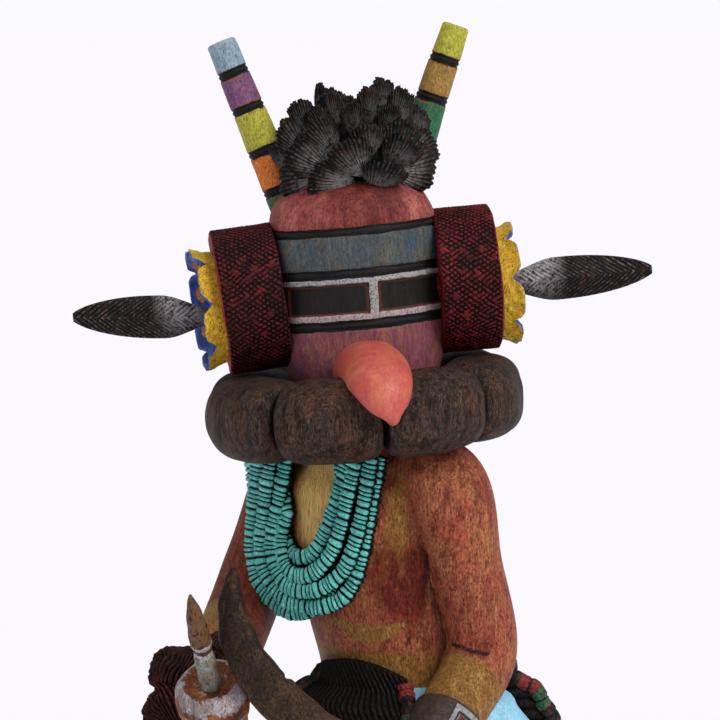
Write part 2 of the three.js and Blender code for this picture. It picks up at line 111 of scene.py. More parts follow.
SPINE = ((12, 3, 136), (9, 2, 158), (4, 1.5, 184), (1, 1, 206), (1, 0, 222))
TORSO_STOPS = (
    (0, 26, 20), (0.25, 22, 16), (0.45, 23, 16.8), (0.66, 25.5, 17.8), (0.8, 25, 16.2),
    (0.9, 17, 13), (1, 13, 12.5),
)
LEFT_ARM = (
    (14, -8, 212), (22.5, -15.5, 207.5), (28.7, -16, 184),
    (32.6, -15, 162), (25, -26, 149), (16, -39.5, 135.8),
)
RIGHT_ARM = (
    (-12, 10, 211), (-17, 17, 205), (-24.5, 16, 189),
    (-31.4, 12, 171.5), (-35.6, -6, 161), (-36.6, -29, 148),
)
ARM_FRONT = np.array([0.91, -0.41, 0])
ARM_STOPS = ((0, 9.3, 9.3), (0.14, 11.3, 11.3), (0.36, 9.7, 9.7), (0.58, 9.5, 9.5), (0.76, 9.1, 9.1),
             (1, 7, 7))
LEFT_FIST, RIGHT_FIST = np.array([14, -42, 133.5]), np.array([-36.2, -34.5, 145.5])
PALM_RADII = (6.8, 6.8, 7.0)
FINGER_STOPS = ((0, 1.6, 1.6), (0.15, 2.3, 2.3), (0.85, 2.2, 2.2), (1, 1.2, 1.2))
THUMB_STOPS = ((0, 2.0, 2.0), (0.6, 2.4, 2.4), (1, 1.3, 1.3))
# the thumb's points: along the held rod, and turned round it
THUMB_ROUTE = ((3, 0.4), (6, 1.3), (6.5, 2.3), (5, 3.0))
BODY_VOXEL, BODY_SOFTENING, ROUTE_STEPS = 0.95, 3, 70
# where each forearm's yellow starts along the arm, how it slants across, and from where on X
FOREARM_PAINT = ((LEFT_ARM, 0.66, 0.002, 27), (RIGHT_ARM, 0.6, 0.03, -37))
SEAM_TOP, SHIN_HIGH, SHIN_LOW = 203.0, 66.0, 30.0

# the bow guard's share of the left arm's 200 steps, and the plaque on it
GUARD_SPAN, GUARD_THICK = slice(162, 194), 1.1
PLAQUE_ENDS, PLAQUE_BEND, PLAQUE_FACING = (0.16, 0.9), 0.55, np.array([0.22, -0.95, -0.2])
# lobes of the wrist tuft: centre, radii, and the way its strands' pole points
TUFT_LOBES = (
    ((-47, -23, 158.5), (9.2, 8, 6.8), (0.5, 0.3, 0.8)),
    ((-49.5, -26, 147.5), (7.8, 7.5, 9.5), (-0.4, 0.6, 0.7)),
    ((-45, -20, 141), (8, 8, 9), (0.2, 0.5, 0.8)), ((-38, -21, 163.5), (5.6, 5, 5), (0.7, 0.2, 0.7)),
)
TUFT_GRID = (44, 220)

KILT_TOP, KILT_HEM, KILT_SHIFT, KILT_BORDER = 152.5, 98.0, 2.5, 7.0
KILT_ROWS, KILT_COLUMNS = 60, 160
KILT_STOPS = ((98, 40.5, 34), (125, 38.6, 30), (138, 37.2, 27.8), (147, 32.5, 24), (152.5, 24, 18))
HIPS, WAIST = np.array([12.0, 3, 136]), np.array([9.0, 2, 158])
APRON_TOP, APRON_LENGTH, APRON_ARCH, APRON_GRID = 159.2, 42.0, 4.5, (80, 140)
ROLL_RADIUS, ROLL_TURN, ROLL_GRID = 2.3, 5.2, (320, 24)
# the way each apron faces, half its width as a turn, how far it is raised, how far its belly and
# the start and end of its roll stand out, and the share of the roll that is plain black
APRONS = {
    "front_apron": (math.radians(-6), math.radians(37), 0.0, 1.4, (1.8, 2.8), 0.5),
    "back_apron": (PI, math.radians(43), 8.5, 6.0, (8.0, 8.0), 0.0),
}

LEFT_LEG = ((23, 0, 112), (25, -5, 90), (26.5, -8, 70), (26, -3, 46), (25.5, 3, 24))
RIGHT_LEG = ((-1, -3, 112), (-5, -10, 90), (-8, -13, 70), (-9.5, -7, 46), (-11, -1, 24))
LEG_STOPS = ((0, 12, 12), (0.2, 12, 12), (0.48, 9, 9), (0.68, 9.4, 9.4), (1, 6.6, 6.6))
SHOE_RADII = (8.2, 18, 9.5)
SLAB_HALF_WIDTH, SLAB_HALF_DEPTH, SLAB_HEIGHT, SLAB_EDGE = 50.0, 43.0, 15.0, 3.0
SLAB_COLUMNS = 160

# the bundle's outer and inner edges on the chest: distance to the doll's left, and height
NECKLACE_OUTER = (
    (-30.5, 216), (-31.6, 204), (-32.6, 193), (-32.2, 182.5), (-28.6, 174.6), (-19.9, 169.8), (-8.6, 168.8),
    (2, 171.8), (10, 178.8), (13.6, 188), (16, 199), (19, 216),
)
NECKLACE_INNER = (
    (-12, 216), (-12.4, 202), (-12.9, 193), (-10.4, 188.4), (-5.4, 189.6), (-2, 196.2), (1.4, 206),
    (4, 216),
)
NECKLACE_STRANDS, NECKLACE_TWIST, NECKLACE_GRID = 7, math.radians(150), (420, 14)
BEAD_PITCH, BEAD_HALF_WIDE, BEAD_HALF_DEEP = 1.55, 2.2, 1.8

GOURD_CENTRE, GOURD_GRID, STEM_GRID = np.array([-38, -44.5, 156]), (70, 80), (150, 28)
# outlines of gourd and handle: height along the handle from the gourd's middle, and radius
GOURD_OUTLINE = (
    (-7.2, 1.5), (-6.9, 4.5), (-5.5, 7.6), (-3, 9.2), (0, 9.8), (2.5, 9.5), (4.6, 8.7),
    (5.6, 7.6), (5.3, 6.2), (4.4, 4.6), (4.0, 2.9),
)
STEM_STOPS = (
    (-22, 2.4), (3, 2.4), (4, 2.75), (15, 2.65), (15.2, 2.45), (18.4, 2.45), (19, 2.85),
    (22, 2.8), (29, 2.1), (34, 1.0), (35.6, 0.4),
)
HANDLE_AXIS = np.array([-0.14, -0.53, 0.835]) / np.linalg.norm([-0.14, -0.53, 0.835])
STICK_ROUTE = (
    (-32.6, -47, 190), (-33, -50, 179.5), (-29.0, -54.5, 168), (-17, -54, 153.5), (-0.8, -48, 141.5),
    (14, -42, 133.5), (29, -37, 127.5),
)
STICK_GRID = (160, 36)
STICK_STOPS = (
    (0, 0.8, 0.8), (0.03, 2.0, 1.6), (0.1, 3.8, 2.5), (0.2, 4.9, 2.9), (0.35, 5.9, 3.2), (0.55, 5.8, 3.4),
    (0.75, 4.8, 3.3), (0.95, 4.4, 3.2), (1, 3.6, 2.4),
)

# camera and lamps in metres, with each lamp's width as an angle and its power
CAMERA_HEIGHT, CAMERA_DISTANCE, CAMERA_RISE, CAMERA_LENS = 0.239, 0.9, math.radians(6), 166.7
FLOOR_REACH = 60.0
SOFTBOXES = (
    ("key_softbox", (0.75, -0.75, 0.95), 35, 2.1),
    ("fill_softbox", (-0.9, -0.8, 0.5), 60, 0.2),
    ("top_softbox", (-0.1, 0.2, 1.3), 60, 0.55),
)


# Shaping helpers

def turned_about_z(angle):
    cosine, sine = math.cos(angle), math.sin(angle)
    return np.array([[cosine, -sine, 0], [sine, cosine, 0], [0, 0, 1]])


def turned_about_y(angle):
    cosine, sine = math.cos(angle), math.sin(angle)
    return np.array([[cosine, 0, sine], [0, 1, 0], [-sine, 0, cosine]])


HEAD_FRAME = turned_about_y(HEAD_LEAN) @ turned_about_z(HEAD_TURN)


def from_head(points):
    return points @ HEAD_FRAME.T + HEAD_PIVOT


def unit(vectors):
    return vectors / np.maximum(np.linalg.norm(vectors, axis=-1, keepdims=True), 1e-9)


def within(value):
    return np.clip(value, 0, 1)


def bell(distance, spread):
    return np.exp(-((distance / spread) ** 2))


def fuller(wave, power):
    """A sine or cosine with rounder shoulders, for a section between round and square."""
    return np.sign(wave) * np.abs(wave) ** power


def round_turns(count):
    return np.linspace(0, 2 * PI, count, endpoint=False)


def lengthwise_and_across(rows, cols):
    """A grid's shares along from 0 to 1, and across from -1 to 1."""
    return np.linspace(0, 1, rows)[:, None], np.linspace(-1, 1, cols)[None]


def distance_along(path):
    return np.concatenate([[0], np.cumsum(np.linalg.norm(np.diff(path, axis=0), axis=1))])


def ripple(points, size, seed):
    """A smooth hand-carved unevenness between about -1 and 1, with waves about one size long."""
    dice = np.random.default_rng(seed)
    total = np.zeros(points.shape[:-1])
    for _ in range(7):
        direction = unit(dice.normal(size=3)) * (2 * PI / (size * dice.uniform(0.7, 1.5)))
        total += np.sin(points @ direction + dice.uniform(0, 2 * PI))
    return total / 3.2


def eased(stops, t):
    """Values between stops (t, a, b, ...), eased from one stop to the next."""
    stops = np.asarray(stops, float)
    after = np.clip(np.searchsorted(stops[:, 0], t), 1, len(stops) - 1)
    low, high = stops[after - 1], stops[after]
    share = within((t - low[..., 0]) / (high[..., 0] - low[..., 0]))
    share = share * share * (3 - 2 * share)
    return low[..., 1:] + (high - low)[..., 1:] * share[..., None]


def smooth_path(points, count):
    """A smooth curve through the points as evenly spaced places, and the direction at each."""
    knots = np.asarray(points, float)
    padded = np.vstack([2 * knots[0] - knots[1], knots, 2 * knots[-1] - knots[-2]])
    s = np.linspace(0, 1, 50, endpoint=False)[:, None]
    dense = []
    for i in range(len(knots) - 1):
        before, start, end, after = padded[i:i + 4]
        d0, d1, d2 = (math.sqrt(np.linalg.norm(gap)) for gap in (start - before, end - start, after - end))
        leave = ((start - before) / d0 - (end - before) / (d0 + d1) + (end - start) / d1) * d1
        arrive = ((end - start) / d1 - (after - start) / (d1 + d2) + (after - end) / d2) * d1
        dense.append((2 * s**3 - 3 * s**2 + 1) * start + (s**3 - 2 * s**2 + s) * leave
                     + (3 * s**2 - 2 * s**3) * end + (s**3 - s**2) * arrive)
    dense = np.vstack(dense + [knots[-1:]])
    travelled = distance_along(dense)
    even = np.linspace(0, travelled[-1], count)
    path = np.stack([np.interp(even, travelled, dense[:, axis]) for axis in range(3)], 1)
    return path, unit(np.gradient(path, axis=0))


def round_section(turn):
    return np.sin(turn), np.cos(turn)


def rings_round(path, side, face, across, over):
    """Rings of points round a path, from how far each point reaches to the side and to the face."""
    return path[:, None] + side[:, None] * across[..., None] + face[:, None] * over[..., None]


def axis_rings(origin, axis, heights, radii, cols):
    """Round rings of points about a straight axis, and the direction out to each point of a ring."""
    turn = round_turns(cols)
    across = unit(np.cross(axis, -FORWARD))
    ring = across * np.cos(turn)[:, None] + np.cross(across, axis) * np.sin(turn)[:, None]
    return origin + axis * heights[:, None, None] + ring[None] * radii[:, None, None], ring


def limb(route, stops, rows, cols, front, section=round_section):
    """Rings of points round a curve. Returns the rings, with t along and the turn round each."""
    path, along = smooth_path(route, rows)
    t = np.linspace(0, 1, rows)
    wide, deep = eased(stops, t).T
    side = unit(np.cross(along, front))
    face = np.cross(side, along)
    turn = round_turns(cols)
    across, over = section(turn)
    rings = rings_round(path, side, face, wide[:, None] * across, deep[:, None] * over)
    return rings, t[:, None] + 0 * turn[None], 0 * t[:, None] + turn[None]


def grid_quads(rows, cols, closed):
    r, c = np.meshgrid(np.arange(rows - 1), np.arange(cols if closed else cols - 1), indexing="ij")
    a, b = r * cols + c, r * cols + (c + 1) % cols
    return np.stack([a, b, b + cols, a + cols], -1).reshape(-1, 4)


def tube_shell(rings, **marks):
    """A closed skin over rings of points, with a middle point at each end. Marks are values at the points."""
    rows, cols = rings.shape[:2]
    points = np.vstack([rings.reshape(-1, 3), rings[0].mean(0), rings[-1].mean(0)])
    c = np.arange(cols)
    n, last = (c + 1) % cols, (rows - 1) * cols
    first_cap = np.stack([np.full(cols, rows * cols), n, c], 1)
    last_cap = np.stack([np.full(cols, rows * cols + 1), last + c, last + n], 1)
    values = {}
    for name, mark in marks.items():
        flat = mark.reshape(rows * cols, -1)
        values[name] = np.vstack([flat, flat[:cols].mean(0), flat[last:].mean(0)])
    quads, tris = grid_quads(rows, cols, True), np.vstack([first_cap, last_cap])
    return {"points": points, "quads": quads, "tris": tris, "marks": values}


def sheet_shell(front, back, **marks):
    """A closed skin over a front and a back grid of points, joined round their border."""
    rows, cols = front.shape[:2]
    size = rows * cols
    border = np.concatenate([
        np.arange(cols - 1), cols - 1 + cols * np.arange(rows - 1), size - 1 - np.arange(cols - 1),
        (rows - 1) * cols - cols * np.arange(rows - 1),
    ])
    onward = np.roll(border, -1)
    faces = grid_quads(rows, cols, False)
    edge = np.stack([border, border + size, onward + size, onward], 1)
    quads = np.vstack([faces, faces[:, ::-1] + size, edge])
    values = {name: np.vstack([mark.reshape(size, -1)] * 2) for name, mark in marks.items()}
    points = np.vstack([front.reshape(-1, 3), back.reshape(-1, 3)])
    return {"points": points, "quads": quads, "tris": np.zeros((0, 3), int), "marks": values}


def outward(shell):
    """Turns a closed shell's faces so that they look outwards."""
    p, q = shell["points"], shell["quads"]
    corners = np.vstack([q[:, [0, 1, 2]], q[:, [0, 2, 3]], shell["tris"]])
    volume = np.einsum("ij,ij->", p[corners[:, 0]], np.cross(p[corners[:, 1]], p[corners[:, 2]]))
    if volume < 0:
        shell["quads"], shell["tris"] = q[:, ::-1], shell["tris"][:, ::-1]
    return shell


def mesh_of(name, shells):
    points, quads, tris, start = [], [], [], 0
    for shell in map(outward, shells):
        points.append(shell["points"])
        quads.append(shell["quads"] + start)
        tris.append(shell["tris"] + start)
        start += len(shell["points"])
    points, quads, tris = np.vstack(points) * MM, np.vstack(quads), np.vstack(tris)
    mesh = bpy.data.meshes.new(name)
    mesh.vertices.add(len(points))
    mesh.vertices.foreach_set("co", points.astype(np.float32).ravel())
    corners = np.concatenate([quads.ravel(), tris.ravel()]).astype(np.int32)
    starts = np.concatenate([4 * np.arange(len(quads)), 4 * len(quads) + 3 * np.arange(len(tris))])
    mesh.loops.add(len(corners))
    mesh.loops.foreach_set("vertex_index", corners)
    mesh.polygons.add(len(starts))
    mesh.polygons.foreach_set("loop_start", starts.astype(np.int32))
    mesh.update(calc_edges=True)
    add_marks(mesh,
              {key: np.vstack([shell["marks"][key] for shell in shells]) for key in shells[0]["marks"]})
    return mesh


def add_marks(mesh, marks):
    for key, values in marks.items():
        kind, field = ("FLOAT_VECTOR", "vector") if values.shape[1] == 3 else ("FLOAT", "value")
        attribute = mesh.attributes.new(key, kind, "POINT")
        attribute.data.foreach_set(field, values.astype(np.float32).ravel())


def show(name, shells, look, node):
    """Puts closed shells in the scene as one piece that stands for a CAD node."""
    show_mesh(name, mesh_of(name, shells), look, node)


def show_mesh(name, mesh, look, node):
    mesh.polygons.foreach_set("use_smooth", np.ones(len(mesh.polygons), bool))
    mesh.materials.append(look)
    piece = bpy.data.objects.new(name, mesh)
    bpy.context.scene.collection.objects.link(piece)
    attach(piece, "root")
    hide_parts(node)


def colour(red, green, blue):
    """A paint colour given as 0 to 255 screen values, for a shader socket."""
    screen = [value / 255 for value in (red, green, blue)]
    linear = [v / 12.92 if v <= 0.04 else ((v + 0.055) / 1.055) ** 2.4 for v in screen]
    return (*linear, 1.0)


# Paint colours
BLACK = colour(20, 18, 18)
SOOT = colour(34, 30, 30)
CHALK = colour(172, 164, 164)
BRICK = colour(114, 44, 44)
SLATE = colour(80, 88, 91)
PLUM = colour(146, 82, 88)
MUSTARD = colour(206, 164, 44)
COBALT = colour(58, 84, 160)
NAVY = colour(30, 38, 84)
TANGERINE = colour(232, 124, 50)
CORAL = colour(192, 84, 74)
UMBER = colour(87, 71, 65)
TURQUOISE = colour(98, 204, 194)
SKIN_RED = colour(182, 94, 68)
OXIDE = colour(132, 44, 32)
OCHRE = colour(168, 118, 57)
SKY_BLUE = colour(150, 206, 230)
MOSS = colour(52, 110, 76)
VIOLET = colour(122, 74, 116)
LIME = colour(178, 174, 62)
GOLD = colour(162, 126, 64)
ICE = colour(140, 164, 180)
TAN = colour(150, 104, 64)
# the ground colour under each ear's cuts, the right ear's darker as painted shade, and the horns' bands from
# root to tip
EAR_GROUND = {"right": colour(82, 24, 26), "left": colour(112, 30, 32)}
HORN_BANDS = {"right": (MOSS, TANGERINE, LIME, VIOLET, ICE), "left": (TANGERINE, VIOLET, MOSS, GOLD, LIME)}


# Shader node groups

def socket_name(key):
    return key.replace("_", " ").capitalize()


def new_group(name, colours=(), bumps=False, **amounts):
    """A group that takes a point, a colour, more colours and amounts, and gives a colour."""
    group = bpy.data.node_groups.new(name, "ShaderNodeTree")
    group.interface.new_socket(name="Point", in_out="INPUT", socket_type="NodeSocketVector")
    for key in ("Colour", *colours):
        group.interface.new_socket(name=key, in_out="INPUT", socket_type="NodeSocketColor")
    for key, value in amounts.items():
        made = group.interface.new_socket(name=socket_name(key), in_out="INPUT",
                                          socket_type="NodeSocketFloat")
        made.default_value = value
    group.interface.new_socket(name="Colour", in_out="OUTPUT", socket_type="NodeSocketColor")
    if bumps:
        group.interface.new_socket(name="Height", in_out="OUTPUT", socket_type="NodeSocketFloat")
    given, out = group.nodes.new("NodeGroupInput"), group.nodes.new("NodeGroupOutput")
    return group, given.outputs, out.inputs


def wire(tree, socket, value):
    """Joins a socket to another socket, or sets it to a plain value."""
    if isinstance(value, bpy.types.NodeSocket):
        tree.links.new(value, socket)
    else:
        socket.default_value = value


def stretched(tree, point, scale):
    node = tree.nodes.new("ShaderNodeVectorMath")
    node.operation = "MULTIPLY"
    wire(tree, node.inputs[0], point)
    node.inputs[1].default_value = scale
    return node.outputs[0]


def noise(tree, point, scale, detail=3.0, roughness=0.55):
    node = tree.nodes.new("ShaderNodeTexNoise")
    wire(tree, node.inputs["Vector"], stretched(tree, point, scale))
    node.inputs["Scale"].default_value = 1.0
    node.inputs["Detail"].default_value = detail
    node.inputs["Roughness"].default_value = roughness
    return node.outputs["Fac"]


def between(tree, value, low, high):
    """0 below low, 1 above high, smooth in between."""
    node = tree.nodes.new("ShaderNodeMapRange")
    node.interpolation_type = "SMOOTHSTEP"
    wire(tree, node.inputs["Value"], value)
    wire(tree, node.inputs["From Min"], low)
    wire(tree, node.inputs["From Max"], high)
    return node.outputs["Result"]


def maths(tree, operation, first, second=0.0, third=0.0):
    node = tree.nodes.new("ShaderNodeMath")
    node.operation = operation
    for socket, value in zip(node.inputs, (first, second, third)):
        wire(tree, socket, value)
    return node.outputs[0]


def product(tree, first, second):
    return maths(tree, "MULTIPLY", first, second)


def blended(tree, share, first, second, style="MIX"):
    node = tree.nodes.new("ShaderNodeMix")
    node.data_type = "RGBA"
    node.blend_type = style
    wire(tree, node.inputs["Factor"], share)
    wire(tree, node.inputs["A"], first)
    wire(tree, node.inputs["B"], second)
    return node.outputs["Result"]


def make_wood_grain():
    """Streaks and dark open pores along Z, which show through stain and thin paint."""
    group, given, out = new_group("wood_grain", bumps=True, streaks=0.5, pores=0.5)
    point, streaks = given["Point"], given["Streaks"]
    broad = between(group, noise(group, point, (0.9, 0.9, 0.05), 6.0, 0.62), 0.36, 0.68)
    fine = between(group, noise(group, point, (3.0, 3.0, 0.2), 4.0, 0.65), 0.36, 0.66)
    pores = between(group, noise(group, point, (4.2, 4.2, 0.42), 2.0), 0.61, 0.69)
    soft = blended(group, product(group, broad, streaks), given["Colour"], (0.5, 0.46, 0.44, 1), "MULTIPLY")
    lined = blended(group, product(group, fine, streaks), soft, (0.5, 0.47, 0.45, 1), "MULTIPLY")
    pitted = blended(group, product(group, pores, given["Pores"]), lined, (0.16, 0.13, 0.12, 1), "MULTIPLY")
    wire(group, out["Colour"], pitted)
    wire(group, out["Height"], maths(group, "MULTIPLY_ADD", fine, -0.5, product(group, pores, -1.0)))
    return group


def make_hand_paint():
    """Thin paint rubbed on by hand: two more colours in soft patches, gritty tone, and small dark pits."""
    amounts = {"second_amount": 0.5, "third_amount": 0.4, "grit": 0.4, "pits": 0.4}
    group, given, out = new_group("hand_paint", ("Second", "Third"), True, **amounts)
    point = given["Point"]
    cloud = between(group, noise(group, point, (0.14, 0.14, 0.08), 5.0, 0.62), 0.42, 0.62)
    wisp = between(group, noise(group, point, (0.37, 0.37, 0.13), 6.0, 0.7), 0.47, 0.64)
    base = blended(group, product(group, cloud, given["Second amount"]), given["Colour"], given["Second"])
    base = blended(group, product(group, wisp, given["Third amount"]), base, given["Third"])
    grains = noise(group, point, (1.7, 1.7, 0.95), 4.0, 0.75)
    swing = product(group, maths(group, "SUBTRACT", grains, 0.5), given["Grit"])
    toned = group.nodes.new("ShaderNodeVectorMath")
    toned.operation = "SCALE"
    wire(group, toned.inputs[0], base)
    wire(group, toned.inputs["Scale"], maths(group, "MULTIPLY_ADD", swing, 5.0, 1.0))
    pits = between(group, noise(group, point, (2.6, 2.6, 1.1), 3.0, 0.65), 0.57, 0.66)
    dark = product(group, pits, given["Pits"])
    wire(group, out["Colour"], blended(group, dark, toned.outputs[0], (0.2, 0.16, 0.14, 1), "MULTIPLY"))
    wire(group, out["Height"], maths(group, "SUBTRACT", product(group, grains, 1.4), pits))
    return group


def make_patchy_stain():
    """Lets a second colour come and go in soft brushed patches."""
    group, given, out = new_group("patchy_stain", ("Second",), amount=0.5)
    cloud = between(group, noise(group, given["Point"], (0.16, 0.16, 0.07), 4.0, 0.6), 0.38, 0.66)
    mixed = blended(group, product(group, cloud, given["Amount"]), given["Colour"], given["Second"])
    wire(group, out["Colour"], mixed)
    return group


def make_cut_shade():
    """Dark paint left in the cuts, and a dry brush of light paint on the high edges. Partly this is the
    carving's own paint, partly painted shade in the cuts and painted highlight on the edges.
    """
    amounts = {"relief": 1.0, "cut_level": 0.4, "brush_amount": 0.3}
    group, given, out = new_group("cut_shade", ("Cut", "Brush"), **amounts)
    level = given["Cut level"]
    rough = product(group,
                    maths(group, "SUBTRACT", noise(group, given["Point"], (2.6, 2.6, 2.6), 3.0), 0.5), 0.35)
    high = between(group, maths(group, "ADD", given["Relief"], rough),
                   maths(group, "SUBTRACT", level, 0.16), maths(group, "ADD", level, 0.16))
    filled = blended(group, high, given["Cut"], given["Colour"])
    scuff = between(group, noise(group, given["Point"], (1.1, 1.1, 0.8), 5.0, 0.7), 0.47, 0.66)
    crest = between(group, given["Relief"], 0.72, 0.97)
    share = product(group, product(group, scuff, crest), given["Brush amount"])
    wire(group, out["Colour"], blended(group, share, filled, given["Brush"]))
    return group


def make_dust_specks():
    """Fine pale grains caught in the surface."""
    group, given, out = new_group("dust_specks", amount=0.3)
    grains = between(group, noise(group, given["Point"], (5.5, 5.5, 5.5), 1.0), 0.7, 0.76)
    veil = between(group, noise(group, given["Point"], (0.5, 0.5, 0.5), 4.0), 0.45, 0.75)
    share = product(group, product(group, grains, veil), given["Amount"])
    wire(group, out["Colour"], blended(group, share, given["Colour"], (0.62, 0.58, 0.55, 1)))
    return group


WOOD_GRAIN = make_wood_grain()
HAND_PAINT = make_hand_paint()
PATCHY_STAIN = make_patchy_stain()
CUT_SHADE = make_cut_shade()
DUST_SPECKS = make_dust_specks()


class Finish:
    """A painted or stained wood material, built up from its ground colour in layers."""

    def __init__(self, name, roughness=0.6, specular=0.2):
        self.material = bpy.data.materials.new(name)
        self.material.use_nodes = True
        self.tree = self.material.node_tree
        self.shader = self.tree.nodes["Principled BSDF"]
        self.shader.inputs["Roughness"].default_value = roughness
        self.shader.inputs["Specular IOR Level"].default_value = specular
        coordinates = self.tree.nodes.new("ShaderNodeTexCoord")
        self.point = stretched(self.tree, coordinates.outputs["Object"], (1000, 1000, 1000))
        self.height = None

    def mark(self, name):
        node = self.tree.nodes.new("ShaderNodeAttribute")
        node.attribute_name = name
        return node.outputs["Fac"]

    def place(self, name):
        """The x, y and z of a point given in a piece's own frame."""
        node = self.tree.nodes.new("ShaderNodeAttribute")
        node.attribute_name = name
        split = self.tree.nodes.new("ShaderNodeSeparateXYZ")
        self.tree.links.new(node.outputs["Vector"], split.inputs[0])
        return node.outputs["Vector"], split.outputs

    def bands(self, value, low, high, stops):
        """Flat bands of paint: stops are (start, colour) along a value that runs from low to high."""
        ranged = self.tree.nodes.new("ShaderNodeMapRange")
        wire(self.tree, ranged.inputs["Value"], value)
        ranged.inputs["From Min"].default_value = low
        ranged.inputs["From Max"].default_value = high
        ramp = self.tree.nodes.new("ShaderNodeValToRGB")
        ramp.color_ramp.interpolation = "CONSTANT"
        wire(self.tree, ramp.inputs["Fac"], ranged.outputs["Result"])
        elements = ramp.color_ramp.elements
        while len(elements) > 1:
            elements.remove(elements[-1])
        for i, (start, shade) in enumerate(stops):
            spot = max(0.0, (start - low) / (high - low))
            element = elements[0] if i == 0 else elements.new(spot)
            element.position = spot
            element.color = shade
        return ramp.outputs["Color"]

    def layer(self, group, **values):
        node = self.tree.nodes.new("ShaderNodeGroup")
        node.node_tree = group
        for key, value in values.items():
            wire(self.tree, node.inputs[socket_name(key)], value)
        if "Point" in node.inputs and "point" not in values:
            self.tree.links.new(self.point, node.inputs["Point"])
        if "Height" in node.outputs:
            self.height = node.outputs["Height"]
        return node.outputs["Colour"]

    def rubbed(self, base, second, third, grit, pits, **point):
        """Hand-rubbed paint. Second and third are a colour and its amount each."""
        return self.layer(HAND_PAINT, colour=base, second=second[0], second_amount=second[1],
                          third=third[0], third_amount=third[1], grit=grit, pits=pits, **point)

    def cuts(self, base, cut, level, brush=CHALK, brush_amount=0.0, **point):
        """Dark in the piece's own cuts and a dry brush on their edges: partly paint, partly painted shade in
        the cuts and painted highlight on the edges.
        """
        relief = self.mark("relief")
        return self.layer(CUT_SHADE, colour=base, relief=relief, cut=cut, cut_level=level,
                          brush=brush, brush_amount=brush_amount, **point)

    def dusted(self, base, amount, bump=0.3, depth=0.00015):
        return self.done(self.layer(DUST_SPECKS, colour=base, amount=amount), bump, depth)

    def done(self, base, bump=0.3, depth=0.00015):
        wire(self.tree, self.shader.inputs["Base Color"], base)
        if self.height is not None:
            node = self.tree.nodes.new("ShaderNodeBump")
            node.inputs["Strength"].default_value = bump
            node.inputs["Distance"].default_value = depth
            self.tree.links.new(self.height, node.inputs["Height"])
            self.tree.links.new(node.outputs["Normal"], self.shader.inputs["Normal"])
        return self.material


def mask_paint():
    finish = Finish("mask_paint", 0.6)
    tree = finish.tree
    vector, (x, y, z) = finish.place("head_place")
    wander = maths(tree, "SUBTRACT", noise(tree, vector, (0.3, 0.3, 0.3), 3.0), 0.5)
    height = maths(tree, "MULTIPLY_ADD", wander, 0.9, z)
    chin = finish.rubbed(PLUM, (colour(164, 106, 84), 0.6), (colour(110, 62, 108), 0.6), 0.35, 0.5,
                         point=vector)
    brow = finish.rubbed(SLATE, (colour(105, 100, 86), 0.7), (colour(60, 88, 108), 0.7), 0.45, 0.4,
                         point=vector)
    dome = finish.rubbed(BRICK, (colour(150, 74, 62), 0.7), (colour(102, 34, 40), 0.7), 0.6, 0.6,
                         point=vector)
    # The dome is painted lighter red towards its sides, leaving its middle darker: painted shade under the
    # crest.
    painted_lit_dome_sides = finish.rubbed(colour(164, 84, 78), (colour(196, 116, 104), 0.7), (colour(142, 58, 56), 0.7), 0.6,
                         0.6, point=vector)
    dome = blended(tree, between(tree, maths(tree, "ABSOLUTE", maths(tree, "ADD", x, wander)), 6.0, 15.0),
                   dome, painted_lit_dome_sides)
    base = blended(tree, maths(tree, "GREATER_THAN", height, 30.0), chin, brow)
    base = blended(tree, maths(tree, "GREATER_THAN", height, 48.2), base, dome)
    base = finish.layer(WOOD_GRAIN, point=vector, colour=base, streaks=0.5, pores=0.4)
    none, full = (0, 0, 0, 1), (1, 1, 1, 1)
    black = finish.bands(height, 0, 64, (
        (0, none), (22.2, full), (24.8, none), (26.6, full), (34.4, none), (36.0, full), (38.5, none),
        (47.2, full), (49.4, none),
    ))
    white = finish.bands(height, 0, 64,
                         ((0, none), (24.95, full), (26.45, none), (34.55, full), (35.9, none)))
    front = maths(tree, "LESS_THAN", y, 0.0)
    post = maths(tree, "MULTIPLY", front,
                 maths(tree, "LESS_THAN", maths(tree, "ABSOLUTE", maths(tree, "ADD", x, wander)), 1.1))
    tall = maths(tree, "MULTIPLY", maths(tree, "GREATER_THAN", z, 26.0), maths(tree, "LESS_THAN", z, 35.0))
    white = maths(tree, "MAXIMUM", white, maths(tree, "MULTIPLY", post, tall))
    chipped = between(tree, noise(tree, vector, (2.2, 2.2, 1.7), 5.0, 0.75), 0.36, 0.56)
    soot = finish.layer(WOOD_GRAIN, point=vector, colour=SOOT, streaks=0.8, pores=0.5)
    base = blended(tree, black, base, soot)
    eye = finish.mark("eye")
    outline = maths(tree, "MULTIPLY", between(tree, eye, 0.1, 0.4), between(tree, eye, 0.97, 0.75))
    base = blended(tree, maths(tree, "MULTIPLY", outline, 0.8), base, colour(84, 44, 26))
    base = blended(tree, maths(tree, "MULTIPLY", white, chipped), base, CHALK)
    base = finish.cuts(base, colour(8, 7, 7), 0.35, point=vector)
    return finish.dusted(base, 0.4, 0.5)


def ruff_stain():
    finish = Finish("ruff_stain", 0.55, 0.1)
    base = finish.rubbed(UMBER, (colour(108, 76, 58), 0.8), (colour(38, 31, 29), 0.8), 0.8, 0.6)
    base = finish.layer(WOOD_GRAIN, colour=base, streaks=0.95, pores=1.0)
    # near-black in the slits between the lobes, as painted shade
    base = finish.cuts(base, colour(9, 8, 8), 0.45)
    return finish.dusted(base, 0.6, 1.0, 0.0003)


